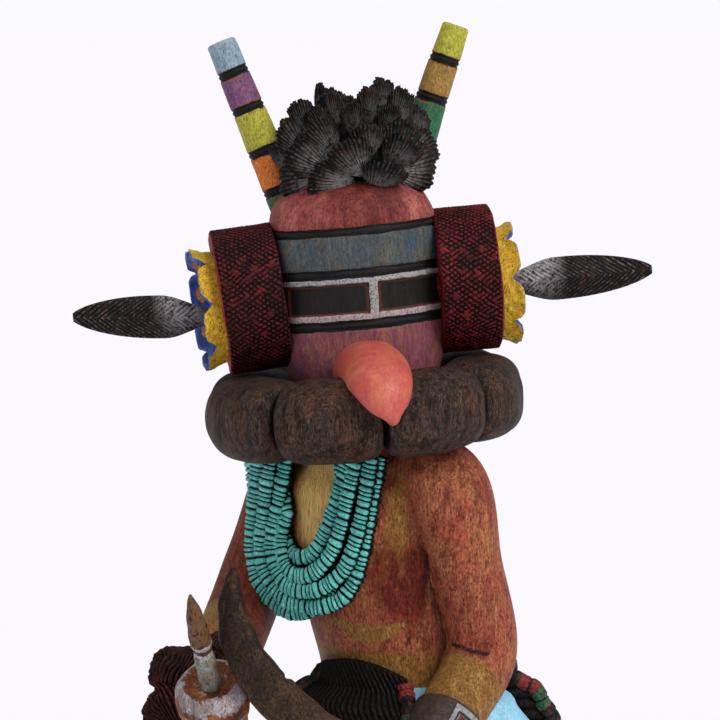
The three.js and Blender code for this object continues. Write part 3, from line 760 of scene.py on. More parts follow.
def ear_paint(side, ground):
    finish = Finish(f"{side}_ear_paint", 0.55, 0.08)
    tree = finish.tree
    base = finish.rubbed(ground, (colour(34, 16, 17), 0.8), (colour(122, 38, 38), 0.5), 0.7, 0.8)
    base = finish.cuts(base, colour(9, 7, 7), 0.58, colour(140, 58, 54), 0.3)
    rim = finish.rubbed(colour(150, 46, 44), (colour(100, 30, 30), 0.6), (TAN, 0.35), 0.5, 0.5)
    edge = finish.mark("rim")
    return finish.done(blended(tree, between(tree, edge, 0.4, 0.6), base, rim), 0.3)


def blossom_paint():
    finish = Finish("blossom_paint", 0.6)
    tree = finish.tree
    ragged = maths(tree, "MULTIPLY_ADD",
                   maths(tree, "SUBTRACT", noise(tree, finish.point, (0.8, 0.8, 0.8), 4.0), 0.5), 0.16,
                   finish.mark("rim"))
    blue = finish.rubbed(COBALT, (NAVY, 0.5), (colour(112, 146, 200), 0.6), 0.4, 0.5)
    yellow = finish.rubbed(MUSTARD, (colour(222, 190, 64), 0.5), (colour(166, 116, 40), 0.5), 0.55, 1.0)
    orange = finish.rubbed(colour(206, 138, 48), (TANGERINE, 0.6), (colour(120, 70, 34), 0.4), 0.5, 0.7)
    outer = blended(tree, between(tree, ragged, 0.97, 1.0), yellow, blue)
    inner = blended(tree, between(tree, finish.mark("oval"), 0.4, 0.55), blended(tree, 0.25, blue, NAVY),
                    orange)
    return finish.done(blended(tree, finish.mark("inside"), outer, inner), 0.7)


def feather_paint(name, brush, brush_amount, ground):
    finish = Finish(name, 0.45, 0.1)
    tree = finish.tree
    base = finish.rubbed(ground, (colour(20, 18, 19), 0.7), (colour(70, 44, 30), 0.45), 0.5, 0.4)
    smear = between(tree, noise(tree, finish.point, (0.8, 0.8, 0.8), 5.0, 0.72), 0.36, 0.56)
    base = blended(tree, maths(tree, "MULTIPLY", finish.mark("root"), smear), base, colour(168, 160, 160))
    # Dark in the cuts between ridges, and a pale brush on the ridge tops that is partly dry-brushed paint and
    # partly painted highlight.
    base = finish.cuts(base, colour(8, 7, 8), 0.42, brush, brush_amount)
    return finish.dusted(base, 0.7)


def horn_paint(side, paints):
    finish = Finish(f"{side}_horn_paint", 0.6)
    tree = finish.tree
    along = finish.mark("along")
    wander = maths(tree, "SUBTRACT", noise(tree, finish.point, (0.4, 0.4, 0.4), 3.0), 0.5)
    place = maths(tree, "MULTIPLY_ADD", wander, 0.02, along)
    starts = (0,) + HORN_RINGS[side][1:]
    base = finish.bands(place, 0, 1, tuple(zip(starts, paints)))
    base = finish.rubbed(base, (colour(170, 140, 80), 0.15), (SOOT, 0.18), 0.5, 0.7)
    for middle in HORN_RINGS[side]:
        gap = maths(tree, "ABSOLUTE", maths(tree, "SUBTRACT", place, middle))
        worn = maths(tree, "MULTIPLY", between(tree, gap, 0.034, 0.022), between(tree, wander, -0.06, 0.1))
        base = blended(tree, worn, base, colour(150, 84, 44))
        base = blended(tree, between(tree, gap, 0.024, 0.019), base, BLACK)
    base = finish.cuts(base, colour(8, 7, 7), 0.4)
    return finish.dusted(base, 0.25, 0.6)


def rubbed_paint(name, first, second, third, grit=0.45, pits=0.5, roughness=0.58, specular=0.2, bump=0.4):
    """Plain paint in one colour with two others rubbed through it."""
    finish = Finish(name, roughness, specular)
    base = finish.rubbed(first, (second, 0.65), (third, 0.5), grit, pits)
    return finish.dusted(base, 0.25, bump)


def cut_paint_and_shade(name, ground, second, third, cut, level, brush, brush_amount, specular=0.06):
    """Paint on a surface carved in cuts: the cuts stay dark and the edges take a dry brush, partly paint and
    partly painted shade in the cuts and painted highlight on the edges.
    """
    finish = Finish(name, 0.5, specular)
    base = finish.rubbed(ground, (second, 0.6), (third, 0.5), 0.55, 0.6)
    base = finish.cuts(base, cut, level, brush, brush_amount)
    return finish.dusted(base, 0.2, 0.4)


def skin_paint():
    finish = Finish("skin_paint", 0.5, 0.2)
    tree = finish.tree
    red = finish.rubbed(SKIN_RED, (colour(194, 124, 80), 0.75), (colour(124, 46, 32), 0.8), 0.8, 0.5)
    deep = finish.rubbed(OXIDE, (colour(104, 34, 24), 0.7), (colour(158, 84, 40), 0.6), 0.8, 0.5)
    gold = finish.rubbed(OCHRE, (colour(156, 104, 48), 0.7), (colour(200, 158, 92), 0.5), 0.7, 0.4)
    ragged = maths(tree, "MULTIPLY",
                   maths(tree, "SUBTRACT", noise(tree, finish.point, (0.5, 0.5, 0.14), 5.0, 0.65), 0.5),
                   0.8)
    base = blended(tree, between(tree, maths(tree, "ADD", finish.mark("red"), ragged), 0.25, 0.75), red,
                   deep)
    base = blended(tree, between(tree, maths(tree, "ADD", finish.mark("yellow"), ragged), 0.25, 0.75), base,
                   gold)
    base = finish.layer(WOOD_GRAIN, colour=base, streaks=0.5, pores=0.65)
    # painted light: a pale gold lifts the chest's middle in the ruff's shade
    pale = between(tree, finish.mark("pale"), 0.1, 0.7)
    base = blended(tree, pale, base,
                   finish.layer(WOOD_GRAIN, colour=colour(255, 212, 126), streaks=0.6, pores=0.6))
    # dark: the elbow crack and the shoes, and painted shade in the chest's crease and by the left armpit
    base = blended(tree, between(tree, finish.mark("dark"), 0.1, 0.9), base, colour(34, 18, 15))
    return finish.dusted(base, 0.3, 1.0, 0.0003)


def roll_paint():
    finish = Finish("yarn_roll_paint", 0.55)
    base = finish.bands(finish.mark("segment"), 0, 3,
                        ((0, colour(48, 100, 66)), (1, colour(152, 44, 44)), (2, colour(22, 19, 19))))
    base = finish.rubbed(base, (SOOT, 0.45), (colour(120, 70, 50), 0.3), 0.6, 0.8)
    base = finish.cuts(base, colour(10, 9, 9), 0.4, TAN, 0.3)
    return finish.dusted(base, 0.3, 0.5)


def gourd_paint():
    finish = Finish("gourd_paint", 0.55)
    tree = finish.tree
    rust = finish.rubbed(colour(128, 70, 38), (colour(58, 36, 28), 0.8), (colour(170, 104, 54), 0.6), 0.6,
                         0.9)
    frost = finish.rubbed(colour(164, 152, 152), (colour(108, 84, 78), 0.6), (colour(206, 200, 204), 0.5),
                          0.6, 1.0)
    along = finish.mark("along")
    patch = noise(tree, finish.point, (0.24, 0.24, 0.2), 5.0, 0.66)
    rim = maths(tree, "MULTIPLY", between(tree, along, 0.5, 0.66), between(tree, along, 0.86, 0.76))
    share = between(tree, maths(tree, "MULTIPLY_ADD", rim, 0.22, patch), 0.58, 0.66)
    base = blended(tree, share, rust, frost)
    blue = maths(tree, "MULTIPLY", between(tree, along, 0.42, 0.36), between(tree, along, 0.2, 0.26))
    base = blended(tree, blue, base, colour(92, 172, 176))
    return finish.dusted(base, 0.3, 0.7)


def handle_paint():
    finish = Finish("handle_paint", 0.55)
    tree = finish.tree
    along = finish.mark("along")
    wander = maths(tree, "SUBTRACT", noise(tree, finish.point, (0.6, 0.6, 0.6), 4.0), 0.5)
    place = maths(tree, "MULTIPLY_ADD", wander, 0.03, along)
    base = finish.bands(place, 0, 1, (
        (0, colour(112, 84, 62)), (0.45, colour(138, 148, 138)), (0.645, CHALK),
        (0.665, colour(40, 32, 30)), (0.695, CHALK), (0.715, colour(108, 74, 48)),
    ))
    base = finish.rubbed(base, (colour(120, 100, 78), 0.6), (colour(96, 62, 40), 0.6), 0.6, 0.9)
    spots = between(tree, noise(tree, finish.point, (0.9, 0.9, 0.5), 2.0), 0.56, 0.62)
    base = blended(tree, maths(tree, "MULTIPLY", spots, maths(tree, "GREATER_THAN", along, 0.72)), base,
                   colour(52, 34, 26))
    return finish.dusted(base, 0.5, 0.6)


def beak_paint():
    finish = Finish("beak_paint", 0.42, 0.35)
    base = finish.rubbed(CORAL, (colour(206, 122, 82), 0.6), (colour(176, 66, 70), 0.5), 0.2, 0.25)
    base = finish.cuts(base, colour(70, 26, 24), 0.4)
    return finish.dusted(base, 0.15, 0.25)


def kilt_paint():
    finish = Finish("kilt_paint", 0.6)
    base = finish.rubbed(SKY_BLUE, (colour(132, 190, 216), 0.6), (colour(170, 216, 234), 0.5), 0.2, 0.3)
    base = blended(finish.tree, between(finish.tree, finish.mark("hem"), 0.3, 0.7), base,
                   colour(44, 42, 46))
    return finish.dusted(base, 0.2)


def plaque_paint():
    finish = Finish("guard_plaque_paint", 0.42, 0.4)
    silver = finish.rubbed(colour(178, 176, 176), (colour(120, 116, 116), 0.6), (SOOT, 0.4), 0.5, 0.8)
    red = finish.rubbed(colour(126, 38, 34), (colour(82, 26, 26), 0.6), (colour(60, 30, 28), 0.5), 0.4, 0.5)
    base = blended(finish.tree, finish.mark("stone"), silver, red)
    return finish.done(finish.cuts(base, BLACK, 0.5, CHALK, 0.2), 0.4)


def stick_stain():
    finish = Finish("stick_stain", 0.5, 0.08)
    share = between(finish.tree, finish.mark("along"), 0.08, 0.5)
    tone = blended(finish.tree, share, colour(32, 25, 21), colour(70, 52, 39))
    base = finish.rubbed(tone, (colour(40, 31, 26), 0.6), (colour(86, 63, 44), 0.5), 0.7, 0.9)
    return finish.dusted(base, 0.5, 0.6)


def slab_wood():
    finish = Finish("slab_oiled_wood", 0.5, 0.3)
    base = finish.layer(PATCHY_STAIN, colour=colour(150, 112, 72), second=colour(118, 84, 54), amount=0.7)
    return finish.done(finish.layer(WOOD_GRAIN, colour=base, streaks=0.6, pores=0.6))


# Head pieces, shaped in the head's frame

def mask_profile(z):
    side = MASK_FOOT + (MASK_RADIUS - MASK_FOOT) * within((z - 8) / 18) ** 0.8
    turn = within((z - (MASK_TOP - MASK_SHOULDER)) / MASK_SHOULDER)
    return side - MASK_SHOULDER * (1 - np.sqrt(np.maximum(0, 1 - turn**2)))


def eye_slots(facing, z):
    """1 inside the two eye slots and 0 outside them, with soft edges."""
    tall = 1 / (1 + np.exp(-(z - EYE_LOW) / EYE_EDGE)) / (1 + np.exp((z - EYE_HIGH) / EYE_EDGE))
    slots = np.zeros_like(z)
    for low, high in EYES:
        slots += tall / (1 + np.exp(-(facing - low) * EYE_END)) / (1 + np.exp((facing - high) * EYE_END))
    return slots


def carve_mask():
    shoulder = MASK_TOP - MASK_SHOULDER
    lower = np.linspace(MASK_SUNK, shoulder, MASK_ROWS)
    dome = shoulder + MASK_SHOULDER * np.sin(np.linspace(0, PI / 2, 24))[1:]
    heights = np.concatenate([lower, dome, [MASK_TOP + 0.3, MASK_TOP + 0.5]])
    radii = np.concatenate([mask_profile(heights[:-2]), [6.0, 1.2]])
    turn = round_turns(MASK_COLUMNS)
    facing = (turn + PI) % (2 * PI) - PI
    z, r = heights[:, None] + 0 * turn, radii[:, None] + 0 * turn
    wavy = 0.18 * np.sin(5 * turn + 1) + 0.12 * np.sin(13 * turn)
    relief = np.ones_like(z)
    for k, line in enumerate(MASK_LINES):
        relief -= bell(z - line - wavy * (-1) ** k, 0.36)
    relief = within(relief)
    eye = eye_slots(facing, z)
    beside_ears = bell(np.abs(facing) - 1.1, 0.3) * within((z - 8) / 10) * within((54 - z) / 10)
    r = r + MASK_FULLER * beside_ears
    place = np.stack([np.sin(turn) * r, -np.cos(turn) * r, z], -1)
    r = r - EYE_DEPTH * eye - MASK_LINE_DEPTH * (1 - relief) + 0.15 * ripple(place, 9, 3)
    place = np.stack([np.sin(turn) * r, -np.cos(turn) * r, z], -1)
    shell = tube_shell(from_head(place), relief=relief, eye=eye, head_place=place)
    show("figure_mask", [shell], mask_paint(), "figure")


def carve_ruff():
    even = np.linspace(0, 1, RUFF_STEPS, endpoint=False)
    lobe = even - 0.78 * np.sin(2 * PI * even) / (2 * PI)
    widths = np.diff(RUFF_SEAMS)
    share = np.tile(lobe, len(widths))[:, None]
    width = np.repeat(widths, RUFF_STEPS)[:, None]
    turn = np.repeat(RUFF_SEAMS[:-1], RUFF_STEPS)[:, None] + width * share
    tube = round_turns(RUFF_COLUMNS)[None]
    off_seam = np.minimum(share, 1 - share) * width * RUFF_RING
    slit = bell(off_seam, 0.9)
    bulge = RUFF_PINCH + (1 - RUFF_PINCH) * np.sqrt(1 - np.abs(2 * share - 1) ** 3.8) - 0.16 * slit
    out = RUFF_RING + RUFF_WIDE * bulge * fuller(np.cos(tube), 0.82)
    up = RUFF_TALL * bulge * fuller(np.sin(tube), 0.82)
    rings = np.stack([np.sin(turn) * out + RUFF_SHIFT, -np.cos(turn) * out, up], -1)
    rings = rings + 0.3 * ripple(rings, 11, 5)[..., None] * unit(rings)
    rows, cols = rings.shape[:2]
    c = np.arange(cols)
    n = (c + 1) % cols
    joint = np.stack([(rows - 1) * cols + c, (rows - 1) * cols + n, n, c], 1)
    # The slits between the lobes go near-black through the relief mark: painted shade in the gaps.
    shell = {
        "points": from_head(rings.reshape(-1, 3)),
        "quads": np.vstack([grid_quads(rows, cols, True), joint]),
        "tris": np.zeros((0, 3), int),
        "marks": {"relief": (1 - slit + 0 * tube).reshape(-1, 1)},
    }
    show("figure_ruff", [shell], ruff_stain(), "figure")


def ear_turned(points):
    """The ears' axis is turned a little from the way the mask faces."""
    return points @ turned_about_z(EAR_TURN).T


def ear_place(side, along, radius, turn, twist=0.0):
    """A point round the ear's axis: along it from the head's middle, out from it, and turned from the top."""
    sign = SIDE_SIGN[side]
    local = np.stack([sign * along, -radius * np.sin(turn), radius * np.cos(turn)], -1)
    end = np.array([sign * EAR_OUTER, 0, 0])
    local = (local - end) @ turned_about_z(twist).T + end
    middle = np.array([sign * (EAR_INNER[side] + EAR_OUTER) / 2, 0, 0])
    local = (local - middle) @ turned_about_y(EAR_LEAN[side]).T + middle
    return ear_turned(local + np.array([0, 0, EAR_HEIGHT]))


def ear_cuts(along, turn, sign):
    """How deep the ear's crossed cuts are, from 0 to 1."""
    spread = 0 * along
    arc = np.stack(
        [along + 0 * turn, EAR_RADIUS * np.sin(turn) + spread, EAR_RADIUS * np.cos(turn) + spread], -1)
    depth = np.zeros(arc.shape[:2])
    for k, slant in enumerate(EAR_CUT_SLANTS):
        cuts = round(2 * PI * EAR_RADIUS * abs(math.sin(slant)) / EAR_CUT_SPACING)
        lean = 1 / math.tan(slant) / EAR_RADIUS
        stray = 0.22 * ripple(arc, 11, 13 + k) + 0.12 * ripple(arc, 3, 19 + k)
        phase = cuts * (turn + lean * along * sign) / (2 * PI) + stray
        groove = within((0.27 - np.abs(phase % 1 - 0.5)) / 0.16)
        force = np.clip(EAR_CUT_FORCE[k] + 0.55 * ripple(arc, 4, 29 + k), 0.2, 1)
        depth = np.maximum(depth, groove * force)
    return depth


def carve_ear(side, look):
    inner, rows = EAR_INNER[side], EAR_WALL_ROWS
    turn = round_turns(EAR_COLUMNS)[None]
    hub = np.linspace(1, EAR_HUB_RADIUS, 4)
    lip = np.linspace(EAR_HUB_RADIUS + 0.1, EAR_RADIUS - 0.5, 4)
    wall = np.linspace(inner + 0.3, EAR_OUTER - 0.5, rows)
    face = np.linspace(EAR_RADIUS - 0.8, 1, 8)
    along = np.concatenate([np.full(4, EAR_HUB_INNER), np.full(5, inner), wall, np.full(8, EAR_OUTER)])[:,
                                                                                                        None]
    radius = np.concatenate([hub, [EAR_HUB_RADIUS], lip, np.full(rows, EAR_RADIUS), face])[:, None]
    on_wall = np.concatenate([np.zeros(9), np.ones(rows), np.zeros(8)])[:, None]
    rim = within((along - EAR_OUTER + 0.45) / 0.2) + 0 * turn
    depth = ear_cuts(along, turn, SIDE_SIGN[side]) * on_wall * (1 - rim)
    place = ear_place(side, along + 0 * turn, radius - EAR_CUT_DEPTH * depth, turn)
    uneven = 0.15 * ripple(place, 8, 11)[..., None]
    place = place + uneven * unit(place - np.array([0, 0, EAR_HEIGHT]))
    shell = tube_shell(from_head(place), relief=1 - depth, rim=rim)
    show(f"{side}_ear_drum", [shell], look, f"{side}_ear_roll")


def carve_blossom(side, look):
    radius = BLOSSOM_RADIUS
    turn = round_turns(BLOSSOM_COLUMNS)[None]
    petal = (turn * PETALS / (2 * PI) + 0.2) % 1
    off_middle = np.abs(2 * petal - 1)
    notch = within((off_middle - 0.5) / 0.5) ** 1.3
    tip = 1 - 0.5 * notch - 0.05 * off_middle**2 + 0.05 * np.cos(3 * turn + 1)
    climb = np.linspace(0, 1, 24)
    flare = 0.35 * climb + 0.65 * climb**3
    descent = np.linspace(0, 1, 18)
    up = np.concatenate([np.zeros(6), climb, np.full(4, 1.0), 1 - 0.75 * descent, np.full(5, 0.25)])[:,
                                                                                                     None]
    out = np.concatenate([
        np.linspace(2, BLOSSOM_NECK, 6), BLOSSOM_NECK + (radius - BLOSSOM_NECK) * flare,
        radius - BLOSSOM_WALL * np.linspace(0.1, 0.95, 4), radius - BLOSSOM_WALL - 2.4 * descent**0.8,
        np.linspace(10, 2, 5),
    ])[:, None]
    inside = np.concatenate([np.zeros(31), np.ones(26)])[:, None] + 0 * turn
    along = EAR_OUTER + 0.3 + BLOSSOM_DEPTH[side] * up * tip + 0.3 * bell(up - 1, 0.05)
    pinch = 1.3 * off_middle**6 * up
    place = ear_place(side, along, out - pinch, turn, BLOSSOM_TURN[side]) - UP * BLOSSOM_DROP[side]
    place = place + 0.14 * ripple(place, 2.0, 17)[..., None] * np.array([0.3, 1, 1])
    oval = within(1 - (off_middle / 0.6) ** 2 - ((up - 0.55) / 0.32) ** 2)
    shell = tube_shell(from_head(place), inside=inside, rim=up + 0 * turn, oval=oval)
    show(f"{side}_squash_blossom", [shell], look, f"{side}_blossom")


def carve_ear_feather(side, look):
    v, u = lengthwise_and_across(*PLUME_GRID)
    root = EAR_OUTER + 0.8
    length = EAR_FEATHER_REACH[side] - root
    low, high = EAR_FEATHER_RISE[side]
    widening = within((v - 0.02) / 0.36)
    neck = 0.36 + 0.64 * widening**2 * (3 - 2 * widening)
    narrowing = (1 - (np.maximum(v - 0.42, 0) / 0.6) ** 2) ** 0.62
    half = EAR_FEATHER_HALF * neck * narrowing
    barb = v * length + np.abs(u) * half * 1.45 + 0.3 * np.sin(3 * u + 9 * v)
    ribs = np.abs(np.sin(PI * barb / PLUME_RIB_PITCH)) ** 0.8
    shaft = bell(u * half, 0.4)
    relief = within(np.maximum(ribs, 0.75 * shaft))
    relief = np.where(v < 0.14, 1, relief)
    swell = 0.3 + 2.1 * (1 - u**2) ** 0.8 * np.sin(PI * within(0.15 + 0.8 * v)) ** 0.7
    x = SIDE_SIGN[side] * (root + length * v) + 0 * u
    z = EAR_HEIGHT + low + (high - low) * v + u * half
    grids = [np.stack([x, way * (swell - 0.6 * (1 - relief)), z], -1) for way in (-1, 1)]
    pale = within(1 - np.abs(v - 0.25) / 0.2) * (0.55 + 0.45 * u)
    front, back = (from_head(ear_turned(grid)) for grid in grids)
    shell = sheet_shell(front, back, relief=relief, root=within(1.9 * pale))
    show(f"{side}_ear_plume", [shell], look, f"{side}_ear_feather")


def carve_horn(side, look):
    root, tip = np.array(HORN_ROOT[side], float), np.array(HORN_TIP[side], float)
    length = np.linalg.norm(tip - root)
    quarter = np.linspace(0, PI / 2, 7)[1:]
    t = np.concatenate([np.linspace(0, 0.985, HORN_ROWS), 0.985 + 0.015 * np.sin(quarter)])
    relief = np.ones_like(t)
    for middle in HORN_RINGS[side]:
        for groove in (-0.012, 0.012):
            relief -= bell((t - middle - groove) * length, 0.3)
    relief = within(relief)
    thick, thin = HORN_RADII[side]
    radius = thick + (thin - thick) * t - 0.34 * (1 - relief)
    radius[-6:] -= 0.9 * (1 - np.cos(quarter))
    place, ring = axis_rings(root, unit(tip - root), t * length, radius, HORN_COLUMNS)
    place = place + 0.1 * ripple(place, 7, 23)[..., None] * ring
    spread = np.ones((1, HORN_COLUMNS))
    shell = tube_shell(from_head(place), along=t[:, None] * spread, relief=relief[:, None] * spread)
    show(f"{side}_banded_horn", [shell], look, f"{side}_horn")


def swung(first, second, angle):
    """Two square directions turned together by an angle, the first towards the second."""
    cosine, sine = math.cos(angle), math.sin(angle)
    return first * cosine + second * sine, second * cosine - first * sine


def crest_feather(turn, latitude, sway, lift, roll, fan, dice):
    """A shell-shaped feather that lies on the mound like a scale, with ridges spread out from its root."""
    v, u = lengthwise_and_across(*CREST_GRID)
    out = np.array([math.sin(turn), -math.cos(turn), 0.0])
    normal, along = swung(out, UP, latitude)
    along, side = swung(along, np.cross(along, normal), sway)
    ahead, face = swung(along, normal, lift)
    side, face = swung(side, face, roll)
    length = CREST_LENGTH * dice.uniform(0.88, 1.14)
    base = CREST_CENTRE + UP * CREST_HALF_TALL * math.sin(latitude)
    base = base + out * CREST_HALF_WIDE * math.cos(latitude) - ahead * 0.42 * length
    ridges = np.abs(np.cos(PI * 8.5 * u + dice.uniform(-0.4, 0.4))) ** 0.7
    ragged = 0.025 * np.sin(7 * u + dice.uniform(0, 6)) + 0.02 * np.sin(17 * u + dice.uniform(0, 6))
    reach = v * length * (1 - 0.42 * np.abs(u) ** 2.4 + ragged + 0.03 * (ridges - 0.5))
    spread = u * fan * (1.1 - 0.1 * v)
    grown = within(v * 2.6)
    dome = 3.2 * (1 - u**2) * np.sin(PI * v * 0.75)
    cut = CREST_CUT * (1 - ridges) * grown
    thick = 0.95 - 0.4 * v
    flat = base + ahead * (reach * np.cos(spread))[..., None] + side * (reach * np.sin(spread))[..., None]
    top = flat + face * (dome + thick - cut)[..., None]
    low = flat + face * (dome - thick + 0.5 * cut)[..., None]
    relief = ridges * (0.3 + 0.7 * grown)
    root = within(1.0 - v / 0.85) + 0 * u
    return sheet_shell(from_head(top), from_head(low), relief=relief, root=root)


def carve_crest():
    dice = np.random.default_rng(41)
    shells = []
    for count, latitude, aside, lift, first, fan, facing in CREST_ROWS:
        for i in range(count):
            turn = math.radians(first + dice.uniform(-7, 7)) + i * 2 * PI / count
            from_front = (turn + PI) % (2 * PI) - PI
            share = np.clip(from_front / math.radians(42), -1, 1) * within(2.2 - abs(from_front))
            sway = math.radians(aside * share * dice.uniform(0.8, 1.15) + dice.uniform(-16, 16))
            stand = math.radians(lift + dice.uniform(-9, 9))
            roll = facing * from_front * within(2.6 - abs(from_front)) + math.radians(dice.uniform(-14, 14))
            tilt = math.radians(latitude + dice.uniform(-4, 4))
            shells.append(crest_feather(turn, tilt, sway, stand, roll, math.radians(fan), dice))
    mound = ball_shell((0, 0, 0), (CREST_HALF_WIDE - 1, CREST_HALF_WIDE - 1, CREST_HALF_TALL - 1))
    mound["points"] = from_head(mound["points"] + CREST_CENTRE)
    flat = np.zeros((len(mound["points"]), 1))
    mound["marks"] = {"relief": flat, "root": flat}
    look = feather_paint("crest_paint", colour(160, 146, 140), 0.2, colour(8, 7, 8))
    show("crest_rosette", shells + [mound], look, "feather_crest")


def beak_section(turn):
    """Rounded above, flatter below, with an edge along each side."""
    over = np.where(np.cos(turn) < 0, 0.62 * np.cos(turn), np.cos(turn))
    return fuller(np.sin(turn), 0.85), over


def carve_beak():
    fade = np.linspace(0, 1, 60)
    wide = BEAK_HALF_WIDTH * (1 - fade**5) ** 0.8 + BEAK_TIP
    deep = BEAK_HALF_HEIGHT * (1 - fade**2.5) ** 0.7 + BEAK_TIP
    rings, t, turn = limb(BEAK_ROUTE, np.stack([fade, wide, deep], 1), *BEAK_GRID, UP, beak_section)
    below = np.cos(turn) + 0.3
    seam = bell(below, 0.06) * within((t - 0.35) * 8)
    jaw = within(-below * 8) * within((t - 0.35) * 6)
    middle = rings.mean(1, keepdims=True)
    size = 1 - 0.07 * seam - 0.08 * jaw + 0.006 * ripple(rings, 8, 31)
    shell = tube_shell(from_head(middle + (rings - middle) * size[..., None]), relief=1 - seam)
    show("coral_beak", [shell], beak_paint(), "beak")


# Body pieces

def body_place(sideways, forward, z):
    return BODY_CENTRE + BODY_SIDE * sideways[..., None] + BODY_FRONT * forward[..., None] + UP * z[...,
                                                                                                    None]


def ball_rings(rows, cols, end=0.05):
    """Rings of points on a ball of radius 1, up to a small gap at each pole, with the angles they are at."""
    t, turn = np.linspace(end, PI - end, rows)[:, None], round_turns(cols)[None]
    rings = np.stack([np.sin(t) * np.cos(turn), np.sin(t) * np.sin(turn), np.cos(t) + 0 * turn], -1)
    return rings, t, turn


def ball_shell(centre, radii):
    rings, _, _ = ball_rings(24, 36)
    return tube_shell(np.asarray(centre, float) + rings * np.asarray(radii, float))


def fist_shells(centre, axis, wrist):
    """A palm and four fingers closed round a held rod, and a thumb over them."""
    back = unit(wrist - centre - axis * np.dot(wrist - centre, axis))
    wrap = np.cross(axis, back)
    shells = [ball_shell(centre + back * 3.2, PALM_RADII)]
    for k in range(4):
        middle = centre + axis * (k - 1.5) * 3.6
        route = [middle + swung(back, wrap, angle)[0] * 5.9 for angle in np.linspace(-0.4, 4.4, 9)]
        shells.append(tube_shell(limb(route, FINGER_STOPS, 26, 14, axis)[0]))
    route = [centre + axis * shift + swung(back, -wrap, angle)[0] * 6.4 for shift, angle in THUMB_ROUTE]
    return shells + [tube_shell(limb(route, THUMB_STOPS, 20, 14, axis)[0])]


def shoe_shell(ankle):
    rings, _, _ = ball_rings(30, 48)
    rings = rings * np.array(SHOE_RADII) + np.array([ankle[0], ankle[1] - 7.0, SLAB_HEIGHT + 3])
    rings[..., 2] = np.maximum(rings[..., 2], SLAB_HEIGHT + 0.3)
    return tube_shell(rings)


def melted(name, shells, voxel, passes):
    """One closed skin round several overlapping shells, with carved-looking hollows where they meet."""
    mesh = mesh_of(name + "_draft", shells)
    draft = bpy.data.objects.new(name + "_draft", mesh)
    bpy.context.scene.collection.objects.link(draft)
    remesh = draft.modifiers.new("one_skin", "REMESH")
    remesh.mode = "VOXEL"
    remesh.voxel_size = voxel * MM
    soften = draft.modifiers.new("soften", "SMOOTH")
    soften.factor = 0.5
    soften.iterations = passes
    graph = bpy.context.evaluated_depsgraph_get()
    made = bpy.data.meshes.new_from_object(draft.evaluated_get(graph))
    bpy.data.objects.remove(draft)
    bpy.data.meshes.remove(mesh)
    made.name = name
    places = np.zeros(len(made.vertices) * 3, np.float32)
    made.vertices.foreach_get("co", places)
    return made, places.reshape(-1, 3).astype(float) / MM


def nearest_along(places, route):
    """The nearest of a route's steps to each place, and the distance to it."""
    path, _ = smooth_path(route, ROUTE_STEPS)
    gaps = np.linalg.norm(places[:, None] - path[None], axis=2)
    return gaps.argmin(1), gaps.min(1)


def soft_spot(values, centre, spread):
    return np.exp(-sum(((v - c) / s) ** 2 for v, c, s in zip(values, centre, spread)))


def body_shells():
    shells = [tube_shell(limb(SPINE, TORSO_STOPS, 60, 80, BODY_FRONT)[0])]
    for route in (LEFT_ARM, RIGHT_ARM):
        shells.append(tube_shell(limb(route, ARM_STOPS, 70, 44, ARM_FRONT)[0]))
    for route in (LEFT_LEG, RIGHT_LEG):
        shells.append(tube_shell(limb(route, LEG_STOPS, 60, 44, FORWARD)[0]))
        shells.append(shoe_shell(route[-1]))
    stick_path, stick_along = smooth_path(STICK_ROUTE, 200)
    held = np.linalg.norm(stick_path - LEFT_FIST, axis=1).argmin()
    shells += fist_shells(LEFT_FIST, stick_along[held], np.array(LEFT_ARM[-2]))
    return shells + fist_shells(RIGHT_FIST, HANDLE_AXIS, np.array(RIGHT_ARM[-2]))


def arm_marks(places, forward):
    """What is on an arm, the yellow of the forearms, and how near the chest is to the seam beside an arm,
    which sinks the chest there and paints shade in the crease.
    """
    x, z = places[:, 0], places[:, 2]
    spine_step, _ = nearest_along(places, SPINE)
    wide, deep = eased(TORSO_STOPS, spine_step / (ROUTE_STEPS - 1)).T
    reach = places - smooth_path(SPINE, ROUTE_STEPS)[0][spine_step]
    torso_gap = (np.hypot(reach @ BODY_SIDE / wide, reach @ BODY_FRONT / deep) - 1) * deep
    on_arm, yellow, seam = np.zeros((3, len(places)))
    for route, start, slope, middle in FOREARM_PAINT:
        step, gap = nearest_along(places, route)
        along = step / (ROUTE_STEPS - 1)
        close = (gap < 13.5) & (along > 0.12)
        start = start + np.clip(slope * (x - middle), 0, 0.3)
        yellow = np.maximum(yellow, within((along - start + 0.02) / 0.05) * close)
        arm_gap = gap - eased(ARM_STOPS, along)[:, 0]
        on_arm = np.maximum(on_arm, close & (arm_gap < torso_gap))
        on_torso = (torso_gap < arm_gap) & (z < SEAM_TOP) & (z > 150) & (forward > -4)
        seam = np.maximum(seam, np.exp(-np.clip(arm_gap, 0, 20) / 2.6) * on_torso)
    return on_arm, yellow, seam * within((SEAM_TOP - z) / 14)


